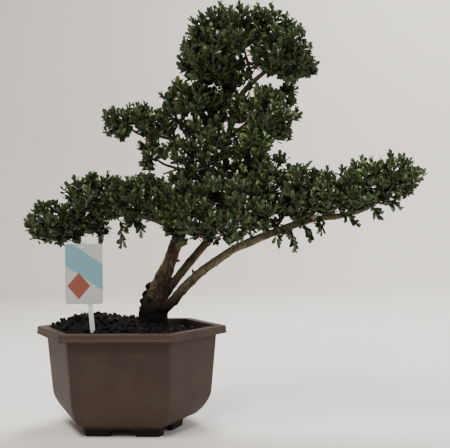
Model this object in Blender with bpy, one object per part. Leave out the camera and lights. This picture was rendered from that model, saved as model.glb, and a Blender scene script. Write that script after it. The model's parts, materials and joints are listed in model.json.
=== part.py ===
"""Holly bonsai in a six-sided pot.

Units are metres and +Z is up. The pot's long axis lies along X, and its label
faces -Y. The plant is laid out round the middle of the pot's base, and at the
end everything is shifted so that the origin is the bottom centre of the whole
object's bounding box.
"""
import math
import random

import bmesh
import bpy
from mathutils import Matrix, Vector, noise
from mathutils.bvhtree import BVHTree

COLLECTION_NAME = "holly_bonsai"
TOUCH_GAP = 0.0003          # clearance between pieces that touch
SOCKET_GAP = 0.0004         # clearance round the wood where soil or foliage holds it
WELD = 0.00001              # merge distance for caps and seams
UP = Vector((0.0, 0.0, 1.0))

# Pot, over the rim
POT_LENGTH = 0.330
POT_DEPTH = 0.226
POT_FRONT = 0.180
POT_HEIGHT = 0.168
RIM_BAND = 0.0125           # height of the band that hangs from the rim
RIM_LIP = 0.0130            # how far the rim stands out from the wall
RIM_THICKNESS = 0.0030
WALL = 0.0030
BELLY_HEIGHT = 0.058        # where the straight wall turns in
BELLY_INSET = 0.0245        # inset of the wall there
FOOT_HEIGHT = 0.0130
FOOT_INSET = 0.0565
FOOT_WIDTH = 0.0080
FOOT_DRAFT = 0.0015         # how far the sides of a foot slope
FLOOR_TOP = 0.0175
BELLY_CURVE = (             # inset and height of the outside, from the feet up to the wall
    (0.0520, 0.0145), (0.0430, 0.0200), (0.0340, 0.0300), (0.0285, 0.0420), (0.0245, 0.0580),
)
FLOOR_CURVE = (             # inset and height of the inside, from the wall down to the floor
    (0.0315, 0.0440), (0.0370, 0.0335), (0.0460, 0.0240), (0.0580, 0.0185), (0.0660, 0.0175),
)
BEAD = 0.0009               # how far the bead under the rim's band stands out
BEAD_HEIGHT = 0.0030
RIM_ROUND = 0.0018          # rounding of the rim's upper edge
UNDERCUT = 0.0042           # thickness of the rim
CORNER = 0.009              # how far each corner is rounded back
NOTCH_LONG = 0.042          # gap between the feet of a long side
NOTCH_SHORT = 0.024         # gap between the feet of a short side
NOTCH_HEIGHT = 0.0105
NOTCH_REACH = 2.6           # depth of a gap's cutter, of a foot's width
DRAIN_RADIUS = 0.006
DRAIN_CUT = 0.030           # length of the cutter of a drainage hole
DRAIN_PLACES = ((-0.055, 0.0), (0.055, 0.0), (0.0, 0.028), (0.0, -0.028))

# Soil
SOIL_LEVEL = 0.152
SOIL_HEAPS = (              # x, y, height, spread in x, spread in y
    (-0.068, 0.000, 0.040, 0.042, 0.055),
    (-0.010, -0.005, 0.020, 0.030, 0.045),
    (0.043, 0.000, 0.020, 0.034, 0.034),
    (-0.120, 0.000, 0.012, 0.030, 0.050),
)
SOIL_LUMP = 0.0045          # height of the lumps
SOIL_LUMP_SIZE = 0.014      # their spacing
SOIL_EDGE = 0.0185          # inset of the soil's edge at the wall
SOIL_DROP = 0.005           # least depth of that edge below the rim
SOIL_CORNER = 0.4           # rounding of the inner rings, of their depth
SOIL_RINGS = (0.032, 0.047, 0.062, 0.077, 0.092, 0.105)
RIM_INNER_INSET = 0.0165

# Label
CARD_WIDTH = 0.0615
CARD_HEIGHT = 0.097
CARD_THICKNESS = 0.0008
CARD_CORNER = 0.0045
CARD_CENTRE = (-0.0605, -0.070, 0.2602)
CARD_HOLE = (0.0080, 0.0040)        # width and height of the oval hole
CARD_HOLE_DROP = 0.0055             # hole's centre below the card's top edge
STAKE_WIDTH = 0.0075
STAKE_THICKNESS = 0.0016
STAKE_FOOT = (-0.0425, 0.112)       # x and z of the stake's lower end
STAKE_TOP = (-0.0603, 0.3140)       # x and z of its upper end
STAKE_POINT = 0.020                 # length of the point at its foot
PEG_SIZE = (0.0050, 0.0022)         # width and height of the peg in the card's hole
PEG_REACH = 0.0010                  # how far the peg stands out in front of the card

# Wood: each limb is a list of points x, y, z and the radius there
TUBE_SIDES_THICK = 2        # bevel resolution of the stems: eight sides
TUBE_SIDES_THIN = 1         # bevel resolution of the branches: six sides
BUTT_RADIUS = 0.0265        # the buried end of the trunk
BUTT_DEPTH = 0.130
MAIN_STEM = (
    (0.044, 0.000, 0.158, 0.0285), (0.043, 0.000, 0.178, 0.0280), (0.042, 0.000, 0.200, 0.0232),
    (0.045, 0.000, 0.220, 0.0190), (0.052, 0.000, 0.240, 0.0146), (0.066, 0.000, 0.270, 0.0112),
    (0.078, 0.000, 0.302, 0.0110), (0.088, 0.000, 0.323, 0.0095), (0.094, -0.002, 0.346, 0.0084),
    (0.101, -0.004, 0.390, 0.0068), (0.107, -0.002, 0.434, 0.0054), (0.112, 0.000, 0.480, 0.0043),
    (0.113, 0.000, 0.515, 0.0030), (0.109, 0.000, 0.545, 0.0020),
)
MIDDLE_STEM = (
    (0.050, 0.004, 0.208, 0.0090), (0.072, 0.010, 0.239, 0.0074), (0.101, 0.018, 0.275, 0.0071),
    (0.132, 0.024, 0.312, 0.0069), (0.152, 0.026, 0.346, 0.0063), (0.160, 0.022, 0.398, 0.0057),
    (0.166, 0.015, 0.458, 0.0051), (0.175, 0.008, 0.510, 0.0048), (0.191, 0.002, 0.552, 0.0047),
    (0.212, 0.000, 0.576, 0.0045), (0.238, 0.000, 0.597, 0.0037), (0.262, -0.004, 0.613, 0.0026),
    (0.276, -0.006, 0.624, 0.0016),
)
RIGHT_LIMB = (
    (0.047, -0.002, 0.188, 0.0110), (0.070, -0.008, 0.206, 0.0088), (0.094, -0.012, 0.232, 0.0080),
    (0.126, -0.014, 0.261, 0.0075), (0.175, -0.012, 0.294, 0.0067), (0.199, -0.010, 0.305, 0.0070),
    (0.242, -0.006, 0.321, 0.0063), (0.303, -0.002, 0.345, 0.0050), (0.361, 0.002, 0.356, 0.0038),
    (0.400, 0.003, 0.368, 0.0031), (0.430, 0.003, 0.386, 0.0023), (0.450, 0.002, 0.402, 0.0016),
)
ROOT_FLARES = (             # low ridges that spread the trunk's foot
    ((0.043, -0.006, 0.200, 0.0120), (0.024, -0.016, 0.176, 0.0075), (0.018, -0.020, 0.160, 0.0060)),
    ((0.045, -0.008, 0.196, 0.0120), (0.056, -0.024, 0.174, 0.0070), (0.059, -0.028, 0.158, 0.0060)),
    ((0.043, 0.006, 0.196, 0.0120), (0.040, 0.026, 0.174, 0.0070), (0.039, 0.030, 0.158, 0.0060)),
    ((0.048, 0.002, 0.196, 0.0120), (0.072, 0.006, 0.178, 0.0075), (0.078, 0.008, 0.160, 0.0060)),
)
BRANCHES = (
    # Lower left limb, with two side shoots
    ((0.088, 0.000, 0.323, 0.0066), (0.067, -0.006, 0.338, 0.0054), (0.037, -0.012, 0.350, 0.0046),
     (0.000, -0.014, 0.358, 0.0040), (-0.038, -0.012, 0.359, 0.0035), (-0.075, -0.010, 0.353, 0.0028),
     (-0.112, -0.010, 0.347, 0.0021), (-0.135, -0.010, 0.346, 0.0015)),
    ((-0.038, -0.012, 0.359, 0.0027), (-0.058, -0.010, 0.369, 0.0021), (-0.073, -0.008, 0.384, 0.0014)),
    ((0.037, -0.012, 0.350, 0.0027), (0.022, -0.012, 0.367, 0.0021), (0.004, -0.010, 0.384, 0.0014)),
    # Bare twig and its stub on the left
    ((0.103, -0.004, 0.410, 0.0029), (0.084, -0.006, 0.432, 0.0025), (0.064, -0.008, 0.440, 0.0020),
     (0.050, -0.010, 0.449, 0.0017), (0.041, -0.010, 0.460, 0.0013)),
    ((0.084, -0.006, 0.432, 0.0019), (0.060, -0.010, 0.424, 0.0014)),
    # Upper left limb, and its shoot to the clump above
    ((0.111, 0.000, 0.468, 0.0036), (0.084, 0.004, 0.481, 0.0029), (0.053, 0.007, 0.490, 0.0025),
     (0.023, 0.009, 0.493, 0.0021), (0.000, 0.010, 0.506, 0.0017), (-0.014, 0.010, 0.516, 0.0013)),
    ((0.109, 0.000, 0.452, 0.0030), (0.098, -0.010, 0.463, 0.0023), (0.086, -0.022, 0.474, 0.0015)),
    # Middle clumps
    ((0.170, 0.012, 0.484, 0.0034), (0.190, 0.006, 0.500, 0.0028), (0.211, 0.000, 0.515, 0.0022),
     (0.228, 0.000, 0.528, 0.0015)),
    ((0.175, 0.008, 0.508, 0.0030), (0.160, 0.014, 0.528, 0.0022), (0.150, 0.018, 0.545, 0.0015)),
    # Crown
    ((0.191, 0.002, 0.552, 0.0036), (0.176, 0.000, 0.575, 0.0031), (0.158, 0.000, 0.600, 0.0025),
     (0.143, 0.000, 0.622, 0.0020), (0.134, 0.000, 0.638, 0.0014)),
    ((0.212, 0.000, 0.576, 0.0030), (0.207, 0.000, 0.605, 0.0025), (0.198, -0.004, 0.635, 0.0019),
     (0.184, -0.012, 0.657, 0.0014)),
    # Centre: to the front, to the back and to the right
    ((0.094, -0.002, 0.346, 0.0034), (0.099, -0.024, 0.356, 0.0026), (0.103, -0.044, 0.364, 0.0018)),
    ((0.145, 0.026, 0.331, 0.0036), (0.154, -0.006, 0.342, 0.0029), (0.160, -0.036, 0.351, 0.0022),
     (0.163, -0.058, 0.357, 0.0015)),
    ((0.159, 0.024, 0.380, 0.0034), (0.164, 0.042, 0.399, 0.0026), (0.172, 0.058, 0.415, 0.0018)),
    ((0.154, 0.026, 0.353, 0.0034), (0.178, 0.012, 0.360, 0.0027), (0.204, 0.000, 0.366, 0.0018)),
    # Right pads
    ((0.242, -0.006, 0.321, 0.0036), (0.258, -0.003, 0.345, 0.0028), (0.273, 0.000, 0.367, 0.0021),
     (0.283, 0.000, 0.386, 0.0014)),
    ((0.303, -0.002, 0.345, 0.0032), (0.319, 0.000, 0.363, 0.0023), (0.330, 0.000, 0.380, 0.0015)),
    ((0.361, 0.002, 0.356, 0.0028), (0.373, 0.002, 0.374, 0.0020), (0.383, 0.000, 0.391, 0.0014)),
)
CUT_STUBS = (               # sawn or broken ends of old shoots
    ((0.041, 0.000, 0.221, 0.0048), (0.022, -0.004, 0.220, 0.0042)),
    ((0.046, 0.000, 0.238, 0.0044), (0.029, -0.006, 0.236, 0.0040)),
    ((0.072, 0.000, 0.275, 0.0027), (0.087, -0.004, 0.278, 0.0022)),
    ((0.081, 0.000, 0.303, 0.0044), (0.100, -0.004, 0.307, 0.0034)),
    ((0.113, -0.014, 0.249, 0.0026), (0.108, -0.016, 0.264, 0.0019)),
)

# Foliage: each pad is a list of lumps, each a centre and the radii of the leafy outline
PADS = {
    "foliage_crown_left": (
        ((0.137, 0.000, 0.634), (0.048, 0.070, 0.052)),
        ((0.172, -0.015, 0.664), (0.049, 0.060, 0.038)),
        ((0.118, 0.025, 0.615), (0.036, 0.050, 0.036)),
        ((0.160, 0.010, 0.600), (0.032, 0.045, 0.030)),
    ),
    "foliage_crown_right": (
        ((0.264, 0.000, 0.634), (0.050, 0.070, 0.054)),
        ((0.246, 0.015, 0.671), (0.044, 0.058, 0.034)),
        ((0.286, -0.015, 0.611), (0.031, 0.050, 0.036)),
    ),
    "foliage_middle_left": (
        ((0.103, 0.000, 0.546), (0.034, 0.048, 0.036)),
        ((0.148, 0.020, 0.552), (0.029, 0.050, 0.038)),
    ),
    "foliage_middle_right": (
        ((0.235, 0.000, 0.528), (0.046, 0.058, 0.043)),
        ((0.215, -0.006, 0.485), (0.038, 0.050, 0.029)),
    ),
    "foliage_upper_left": (
        ((-0.003, 0.010, 0.519), (0.040, 0.044, 0.025)),
        ((0.041, 0.010, 0.515), (0.030, 0.044, 0.028)),
    ),
    "foliage_small_spray": (
        ((0.042, -0.010, 0.460), (0.025, 0.032, 0.022)),
    ),
    "foliage_middle_inner": (
        ((0.082, -0.026, 0.478), (0.030, 0.036, 0.028)),
        ((0.134, -0.020, 0.490), (0.032, 0.036, 0.032)),
    ),
    "foliage_lower_left_tip": (
        ((-0.132, -0.010, 0.347), (0.043, 0.048, 0.030)),
        ((-0.079, -0.010, 0.373), (0.038, 0.052, 0.043)),
    ),
    "foliage_lower_left": (
        ((-0.007, -0.010, 0.387), (0.040, 0.052, 0.035)),
        ((0.042, -0.010, 0.388), (0.034, 0.048, 0.034)),
    ),
    "foliage_centre_front": (
        ((0.102, -0.050, 0.366), (0.042, 0.048, 0.048)),
        ((0.163, -0.066, 0.356), (0.044, 0.042, 0.041)),
        ((0.147, -0.055, 0.408), (0.044, 0.044, 0.030)),
    ),
    "foliage_centre_back": (
        ((0.180, 0.060, 0.420), (0.055, 0.050, 0.050)),
        ((0.123, 0.066, 0.400), (0.046, 0.048, 0.046)),
    ),
    "foliage_centre_right": (
        ((0.214, -0.010, 0.369), (0.038, 0.050, 0.042)),
        ((0.232, -0.004, 0.414), (0.040, 0.046, 0.038)),
    ),
    "foliage_right_inner": (
        ((0.285, 0.000, 0.389), (0.044, 0.054, 0.043)),
        ((0.328, 0.000, 0.385), (0.036, 0.054, 0.036)),
    ),
    "foliage_right_tip": (
        ((0.388, 0.000, 0.396), (0.042, 0.054, 0.037)),
        ((0.442, 0.000, 0.412), (0.048, 0.044, 0.031)),
    ),
}
CORE_SHARE = 0.52           # size of a pad's core, of its leafy outline
CORE_DETAIL = 1             # subdivision of the core
CORE_ROUGHNESS = 0.45       # how uneven the core is
CORE_LUMPS = 3.4            # how fine its unevenness is
CORE_SHIFT = 37.0           # makes every core's unevenness its own
LINK_SHARE = 0.30           # thickness of the neck that joins two cores, of the outline
WHORL_SHARE = 0.74          # where the whorls of leaves stand, of the outline
ROOT_SHARE = 0.30           # where their stems begin, of the outline
WHORL_SPACING = 0.0480       # distance between neighbouring whorls
WHORL_LEAST = 4             # whorls tried on the smallest lump
WHORL_TRIES = 4
WHORL_LEAN = 0.3            # how far a whorl may lean away from its place's normal
WHORL_RISE = 0.35           # how far whorls turn up
WHORL_ROOM = 1.05           # space kept free round a whorl, of its size
LEAF_LENGTH = 0.0285
LEAF_WIDTH = 0.0185
LEAF_THICKNESS = 0.0008
LEAF_SHOULDER = 0.64        # widest place, as a share of the length
LEAF_NOTCH = 0.08           # how far each leaf is cut in towards the stem
LEAF_LIFT = (0.30, 0.52)    # rise of the tips of every other leaf
LEAF_FOLD = 0.0007          # how far the sides fold up
LEAVES_IN_WHORL = 4
STEM_TAPER = 0.7            # thickness of a whorl's stem at its root, of its head
TWIG_RADIUS = 0.0011
DRAW_SEED = 7
HANGING_LEAVES = 4          # leaves of each whorl on a hanging twig
HANGING_SIZE = 0.9          # their size, of the others
HANGING_AXIS = Vector((0.3, -0.5, -0.8))
HANGING_SPIN = 1.1          # turn from one whorl to the next
HANGING_TWIGS = {           # twigs with leaves that hang below a pad
    "foliage_lower_left": (
        ((-0.008, -0.014, 0.378), (-0.004, -0.017, 0.340), (-0.001, -0.020, 0.318)),
        ((0.026, -0.014, 0.380), (0.022, -0.020, 0.346), (0.020, -0.022, 0.336)),
    ),
    "foliage_right_inner": (
        ((0.283, -0.006, 0.386), (0.272, -0.018, 0.326), (0.270, -0.018, 0.306)),
    ),
}

COLOURS = {                 # sRGB hex, roughness
    "pot": ("6b5a52", 0.55),
    "soil": ("1f1813", 0.95),
    "bark": ("6a5846", 0.85),
    "leaf": ("2f4a26", 0.50),
    "card": ("b9c6c6", 0.40),
    "stake": ("dfe3e2", 0.35),
}


def linear_colour(hex_code):
    """Turn an sRGB hex code into linear red, green, blue and alpha."""
    values = []
    for start in (0, 2, 4):
        part = int(hex_code[start:start + 2], 16) / 255.0
        values.append(part / 12.92 if part <= 0.04045 else ((part + 0.055) / 1.055) ** 2.4)
    return (*values, 1.0)


def make_material(name):
    """Make a Principled material from the table of colours."""
    hex_code, roughness = COLOURS[name]
    material = bpy.data.materials.new(name)
    material.use_nodes = True
    shader = material.node_tree.nodes["Principled BSDF"]
    shader.inputs["Base Color"].default_value = linear_colour(hex_code)
    shader.inputs["Roughness"].default_value = roughness
    shader.inputs["Metallic"].default_value = 0.0
    return material


def new_object(name, bm, collection, material=None):
    """Turn a bmesh into an object in a collection."""
    mesh = bpy.data.meshes.new(name)
    bm.to_mesh(mesh)
    bm.free()
    obj = bpy.data.objects.new(name, mesh)
    collection.objects.link(obj)
    if material:
        mesh.materials.append(material)
    return obj


def hide_as_cutter(obj):
    """Keep a cutter out of renders and show it as wire."""
    obj.hide_render = True
    obj.display_type = 'WIRE'


def new_collection(name):
    collection = bpy.data.collections.new(name)
    bpy.context.scene.collection.children.link(collection)
    return collection


def add_boolean(obj, operation, solver='EXACT', other=None, collection=None):
    """Add a Boolean with one object or with a whole collection."""
    modifier = obj.modifiers.new(operation.lower(), 'BOOLEAN')
    modifier.operation = operation
    modifier.solver = solver
    if collection:
        modifier.operand_type = 'COLLECTION'
        modifier.collection = collection
    else:
        modifier.object = other
    return modifier


def apply_modifiers(obj):
    """Replace an object's mesh by its evaluated mesh."""
    graph = bpy.context.evaluated_depsgraph_get()
    mesh = bpy.data.meshes.new_from_object(obj.evaluated_get(graph))
    obj.modifiers.clear()
    obj.data = mesh


def remove_objects(objects):
    for obj in list(objects):
        bpy.data.objects.remove(obj, do_unlink=True)


def union_collection(collection, solver):
    """Join every object of a collection into its first one."""
    first, *others = collection.objects[:]
    pieces = new_collection("pieces")
    for obj in others:
        collection.objects.unlink(obj)
        pieces.objects.link(obj)
    add_boolean(first, 'UNION', solver, collection=pieces)
    apply_modifiers(first)
    remove_objects(pieces.objects)
    bpy.data.collections.remove(pieces)
    return first


def keep_largest_body(obj):
    """Drop the loose scraps that a cut leaves, and keep the largest body."""
    bm = bmesh.new()
    bm.from_mesh(obj.data)
    unseen = set(bm.verts)
    bodies = []
    while unseen:
        body = set()
        queue = [unseen.pop()]
        while queue:
            vert = queue.pop()
            body.add(vert)
            for edge in vert.link_edges:
                other = edge.other_vert(vert)
                if other in unseen:
                    unseen.remove(other)
                    queue.append(other)
        bodies.append(body)
    bodies.sort(key=len, reverse=True)
    scraps = [vert for body in bodies[1:] for vert in body]
    bmesh.ops.delete(bm, geom=scraps, context='VERTS')
    bm.to_mesh(obj.data)
    bm.free()


def hexagon_ring(inset, height, rounding=CORNER):
    """Points of the pot's plan, moved in from the rim's edge by inset, with rounded corners."""
    half_length, half_front, half_depth = POT_LENGTH / 2, POT_FRONT / 2, POT_DEPTH / 2
    run = half_length - half_front
    side = math.hypot(run, half_depth)
    depth = half_depth - inset
    tip = half_length - inset * side / half_depth
    front = tip - run * depth / half_depth
    corners = [Vector((x, y, height)) for x, y in (
        (tip, 0), (front, depth), (-front, depth), (-tip, 0), (-front, -depth), (front, -depth))]
    points = []
    for i, corner in enumerate(corners):
        before, after = corners[i - 1], corners[(i + 1) % 6]
        start = corner + (before - corner).normalized() * rounding
        end = corner + (after - corner).normalized() * rounding
        middle = (start + end) / 4 + corner / 2
        points += [start, middle, end]
    return points


def loft(rings):
    """Skin a closed solid over a list of rings with equal numbers of points."""
    bm = bmesh.new()
    levels = [[bm.verts.new(point) for point in ring] for ring in rings]
    for low, high in zip(levels, levels[1:]):
        for i in range(len(low)):
            j = (i + 1) % len(low)
            bm.faces.new((low[i], low[j], high[j], high[i]))
    bm.faces.new(list(reversed(levels[0])))
    bm.faces.new(levels[-1])
    bmesh.ops.recalc_face_normals(bm, faces=bm.faces)
    return bm


def box(size, matrix):
    bm = bmesh.new()
    bmesh.ops.create_cube(bm, size=1.0)
    bmesh.ops.scale(bm, vec=size, verts=bm.verts)
    bmesh.ops.transform(bm, matrix=matrix, verts=bm.verts)
    return bm


def cavity_profile():
    """Inset and height of the pot's inner wall, from the rim down to the floor."""
    return (
        (RIM_INNER_INSET, POT_HEIGHT - UNDERCUT),
        (BELLY_INSET + WALL, BELLY_HEIGHT),
        *FLOOR_CURVE,
    )


def pot_profile():
    """Inset and height round the pot's section, from under the floor, out, up, over and in."""
    under_rim = POT_HEIGHT - UNDERCUT
    band_low = POT_HEIGHT - RIM_BAND
    outside = (
        (FOOT_INSET + FOOT_WIDTH + FOOT_DRAFT, FOOT_HEIGHT),
        (FOOT_INSET + FOOT_WIDTH, 0.0),
        (FOOT_INSET, 0.0),
        (FOOT_INSET - FOOT_DRAFT, FOOT_HEIGHT),
        *BELLY_CURVE,
        (RIM_LIP, under_rim),
        (RIM_THICKNESS, under_rim),
        (RIM_THICKNESS, band_low),
        (0.0, band_low),
        (0.0, band_low + BEAD_HEIGHT - BEAD),
        (BEAD, band_low + BEAD_HEIGHT),
        (BEAD, POT_HEIGHT - RIM_ROUND),
        (BEAD + RIM_ROUND, POT_HEIGHT),
        (RIM_INNER_INSET - RIM_ROUND, POT_HEIGHT),
    )
    return outside + cavity_profile()


def build_pot(collection, cutters):
    rings = []
    for inset, height in pot_profile():
        rings.append(hexagon_ring(inset, height))
    pot = new_object("pot", loft(rings), collection, make_material("pot"))
    middle = FOOT_INSET + FOOT_WIDTH / 2
    half_length, half_front, half_depth = POT_LENGTH / 2, POT_FRONT / 2, POT_DEPTH / 2
    facet = math.atan2(half_length - half_front, half_depth)
    facet_out = half_length * math.cos(facet)
    for k, turn in enumerate((-90, 90, math.degrees(facet), 180 - math.degrees(facet),
                              -math.degrees(facet), 180 + math.degrees(facet))):
        reach = half_depth if k < 2 else facet_out
        width = NOTCH_LONG if k < 2 else NOTCH_SHORT
        place = Matrix.Rotation(math.radians(turn), 4, 'Z') @ Matrix.Translation((reach - middle, 0, 0))
        size = (FOOT_WIDTH * NOTCH_REACH, width, NOTCH_HEIGHT * 2)
        notch = new_object(f"notch_cutter_{k}", box(size, place), cutters)
        hide_as_cutter(notch)
    for k, (x, y) in enumerate(DRAIN_PLACES):
        bm = bmesh.new()
        bmesh.ops.create_cone(bm, cap_ends=True, segments=12, radius1=DRAIN_RADIUS, radius2=DRAIN_RADIUS,
                              depth=DRAIN_CUT, matrix=Matrix.Translation((x, y, FLOOR_TOP)))
        hide_as_cutter(new_object(f"drain_cutter_{k}", bm, cutters))
    add_boolean(pot, 'DIFFERENCE', collection=cutters)
    return pot


def soil_height(x, y):
    """Height of the soil's surface, with its heaps and lumps."""
    height = SOIL_LEVEL
    for cx, cy, rise, spread_x, spread_y in SOIL_HEAPS:
        height += rise * math.exp(-((x - cx) / spread_x) ** 2 / 2 - ((y - cy) / spread_y) ** 2 / 2)
    return height + SOIL_LUMP * noise.noise(Vector((x, y, 0.0)) / SOIL_LUMP_SIZE)


def build_soil(collection, cutters):
    rings = []
    for inset, height in reversed(cavity_profile()[1:]):
        rings.append(hexagon_ring(inset + SOCKET_GAP, height + SOCKET_GAP))
    for inset in (SOIL_EDGE, *SOIL_RINGS):
        ring = hexagon_ring(inset, 0.0, min(CORNER, (POT_DEPTH / 2 - inset) * SOIL_CORNER))
        for point in ring:
            point.z = soil_height(point.x, point.y)
        if inset == SOIL_EDGE:
            for point in ring:
                point.z = min(point.z, POT_HEIGHT - SOIL_DROP)
        rings.append(ring)
    top = sum(point.z for point in rings[-1]) / len(rings[-1])
    for point in rings[-1]:
        point.z = top
    soil = new_object("soil", loft(rings), collection, make_material("soil"))
    add_boolean(soil, 'DIFFERENCE', collection=cutters)
    return soil


def smooth_route(points, steps):
    """Points of a smooth curve through points x, y, z, radius, with steps for each span."""
    knots = [Vector(point) for point in points]
    knots = [2 * knots[0] - knots[1], *knots, 2 * knots[-1] - knots[-2]]
    route = []
    for a, b, c, d in zip(knots, knots[1:], knots[2:], knots[3:]):
        for k in range(steps):
            t = k / steps
            route.append(0.5 * (2 * b + (c - a) * t + (2 * a - 5 * b + 4 * c - d) * t * t
                                + (3 * b - a - 3 * c + d) * t ** 3))
    route.append(knots[-2])
    return route


def tube(name, points, collection, resolution, steps, grow=0.0):
    """A closed tapered tube along points x, y, z, radius, as a mesh object."""
    curve = bpy.data.curves.new(name, 'CURVE')
    curve.dimensions = '3D'
    curve.bevel_depth = 1.0
    curve.bevel_resolution = resolution
    curve.use_fill_caps = True
    route = smooth_route(points, steps) if len(points) > 2 else [Vector(point) for point in points]
    if grow:
        ahead = (route[-1].xyz - route[-2].xyz).normalized() * grow
        route[-1] = Vector((*(route[-1].xyz + ahead), route[-1].w))
    spline = curve.splines.new('POLY')
    spline.points.add(len(route) - 1)
    for point, place in zip(spline.points, route):
        point.co = (*place.xyz, 1.0)
        point.radius = place.w + grow
    holder = bpy.data.objects.new(name, curve)
    collection.objects.link(holder)
    graph = bpy.context.evaluated_depsgraph_get()
    graph.update()
    mesh = bpy.data.meshes.new_from_object(holder.evaluated_get(graph))
    bpy.data.objects.remove(holder, do_unlink=True)
    bpy.data.curves.remove(curve)
    bm = bmesh.new()
    bm.from_mesh(mesh)
    bpy.data.meshes.remove(mesh)
    bmesh.ops.remove_doubles(bm, verts=bm.verts, dist=WELD)
    bmesh.ops.recalc_face_normals(bm, faces=bm.faces)
    return new_object(name, bm, collection)


def build_wood(name, collection, grow=0.0):
    """Join the stems, limbs and stubs; grow makes a slightly larger copy to cut sockets with."""
    pieces = new_collection("wood_pieces")
    butt = ((0.044, 0.0, BUTT_DEPTH - grow, BUTT_RADIUS), (0.044, 0.0, 0.170, BUTT_RADIUS + 0.001))
    tube("butt", butt, pieces, TUBE_SIDES_THICK, 1, grow)
    for k, stem in enumerate((MAIN_STEM, MIDDLE_STEM, RIGHT_LIMB)):
        tube(f"stem_{k}", stem, pieces, TUBE_SIDES_THICK, 1, grow)
    for k, flare in enumerate(ROOT_FLARES):
        tube(f"flare_{k}", flare, pieces, TUBE_SIDES_THIN, 1, grow)
    for k, branch in enumerate(BRANCHES):
        tube(f"branch_{k}", branch, pieces, TUBE_SIDES_THIN, 1, grow)
    for k, stub in enumerate(CUT_STUBS):
        tube(f"stub_{k}", stub, pieces, TUBE_SIDES_THIN, 1, grow)
    wood = union_collection(pieces, 'EXACT')
    pieces.objects.unlink(wood)
    bpy.data.collections.remove(pieces)
    collection.objects.link(wood)
    wood.name = name
    return wood


def leaf_whorl(place, axis, spin, root, size=1.0, leaves=LEAVES_IN_WHORL):
    """One thin arched blade cut into leaflets that opens along axis, on a stem down to root."""
    bm = bmesh.new()
    bmesh.ops.create_circle(bm, cap_ends=True, segments=leaves * 4, radius=1.0)
    length = LEAF_LENGTH * size
    side = math.atan2(LEAF_WIDTH / 2, LEAF_LENGTH * LEAF_SHOULDER)
    step = math.tau / leaves
    outline = ((LEAF_NOTCH, -step / 2), (LEAF_SHOULDER, -side), (1.0, 0.0), (LEAF_SHOULDER, side))
    rim = bm.verts[:]
    for i, vert in enumerate(rim):
        reach, swing = outline[i % 4]
        angle = i // 4 * step + swing
        vert.co = (reach * length * math.cos(angle), reach * length * math.sin(angle), 0.0)
    notches = rim[::4]
    for vert, after in zip(notches, notches[1:] + notches[:1]):
        bmesh.ops.connect_verts(bm, verts=[vert, after])
    hub = next(face for face in bm.faces if all(vert in notches for vert in face.verts))
    bmesh.ops.triangulate(bm, faces=[face for face in bm.faces if face != hub])
    for i, vert in enumerate(rim):
        lift = LEAF_LIFT[i // 4 % 2]
        vert.co.z = lift * vert.co.length_squared / length
        if i % 4 in (1, 3):
            vert.co.z += LEAF_FOLD
    blade = bmesh.ops.extrude_face_region(bm, geom=bm.faces[:], use_keep_orig=True)
    upper = [item for item in blade["geom"] if isinstance(item, bmesh.types.BMVert)]
    bmesh.ops.translate(bm, vec=(0.0, 0.0, LEAF_THICKNESS), verts=upper)
    turn = axis.to_track_quat('Z', 'Y').to_matrix().to_4x4() @ Matrix.Rotation(spin, 4, 'Z')
    bmesh.ops.transform(bm, matrix=Matrix.Translation(place) @ turn, verts=bm.verts)
    stem = bmesh.ops.extrude_discrete_faces(bm, faces=[hub])["faces"][0]
    for vert in stem.verts:
        vert.co = root + (vert.co - place) * STEM_TAPER
    bmesh.ops.recalc_face_normals(bm, faces=bm.faces)
    return bm


def twig_bar(start, end):
    """A slim three-sided twig."""
    bm = bmesh.new()
    bmesh.ops.create_cone(bm, cap_ends=True, segments=3, radius1=TWIG_RADIUS, radius2=TWIG_RADIUS,
                          depth=(end - start).length)
    turn = (end - start).to_track_quat('Z', 'Y').to_matrix().to_4x4()
    bmesh.ops.transform(bm, matrix=Matrix.Translation((start + end) / 2) @ turn, verts=bm.verts)
    return bm


def lump_core(centre, radii):
    """An uneven ball inside a pad's leafy outline."""
    bm = bmesh.new()
    bmesh.ops.create_icosphere(bm, subdivisions=CORE_DETAIL, radius=1.0)
    for vert in bm.verts:
        rough = 1.0 + CORE_ROUGHNESS * noise.noise(vert.co * CORE_LUMPS + Vector(centre) * CORE_SHIFT)
        vert.co = Vector(centre) + Vector(a * b * CORE_SHARE * rough for a, b in zip(vert.co, radii))
    return bm


def even_directions(count):
    """Directions spread evenly over a ball, on a spiral."""
    golden = math.pi * (3.0 - math.sqrt(5.0))
    for i in range(count):
        z = 1.0 - (2 * i + 1) / count
        flat = math.sqrt(1.0 - z * z)
        yield Vector((math.cos(golden * i) * flat, math.sin(golden * i) * flat, z))


def ellipsoid_area(radii):
    a, b, c = (r ** 1.6 for r in radii)
    return 4 * math.pi * ((a * b + a * c + b * c) / 3) ** (1 / 1.6)


def scaled_distance(point, centre, radii):
    """Distance from a lump's centre, as a share of its outline."""
    return Vector((a - b) / c for a, b, c in zip(point, centre, radii)).length


def grown_tree(bm, about, share=WHORL_ROOM):
    """A collision tree of a slightly larger copy of a shape."""
    copy = bm.copy()
    bmesh.ops.translate(copy, vec=-about, verts=copy.verts)
    bmesh.ops.scale(copy, vec=(share, share, share), verts=copy.verts)
    bmesh.ops.translate(copy, vec=about, verts=copy.verts)
    tree = BVHTree.FromBMesh(copy)
    copy.free()
    return tree


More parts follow.
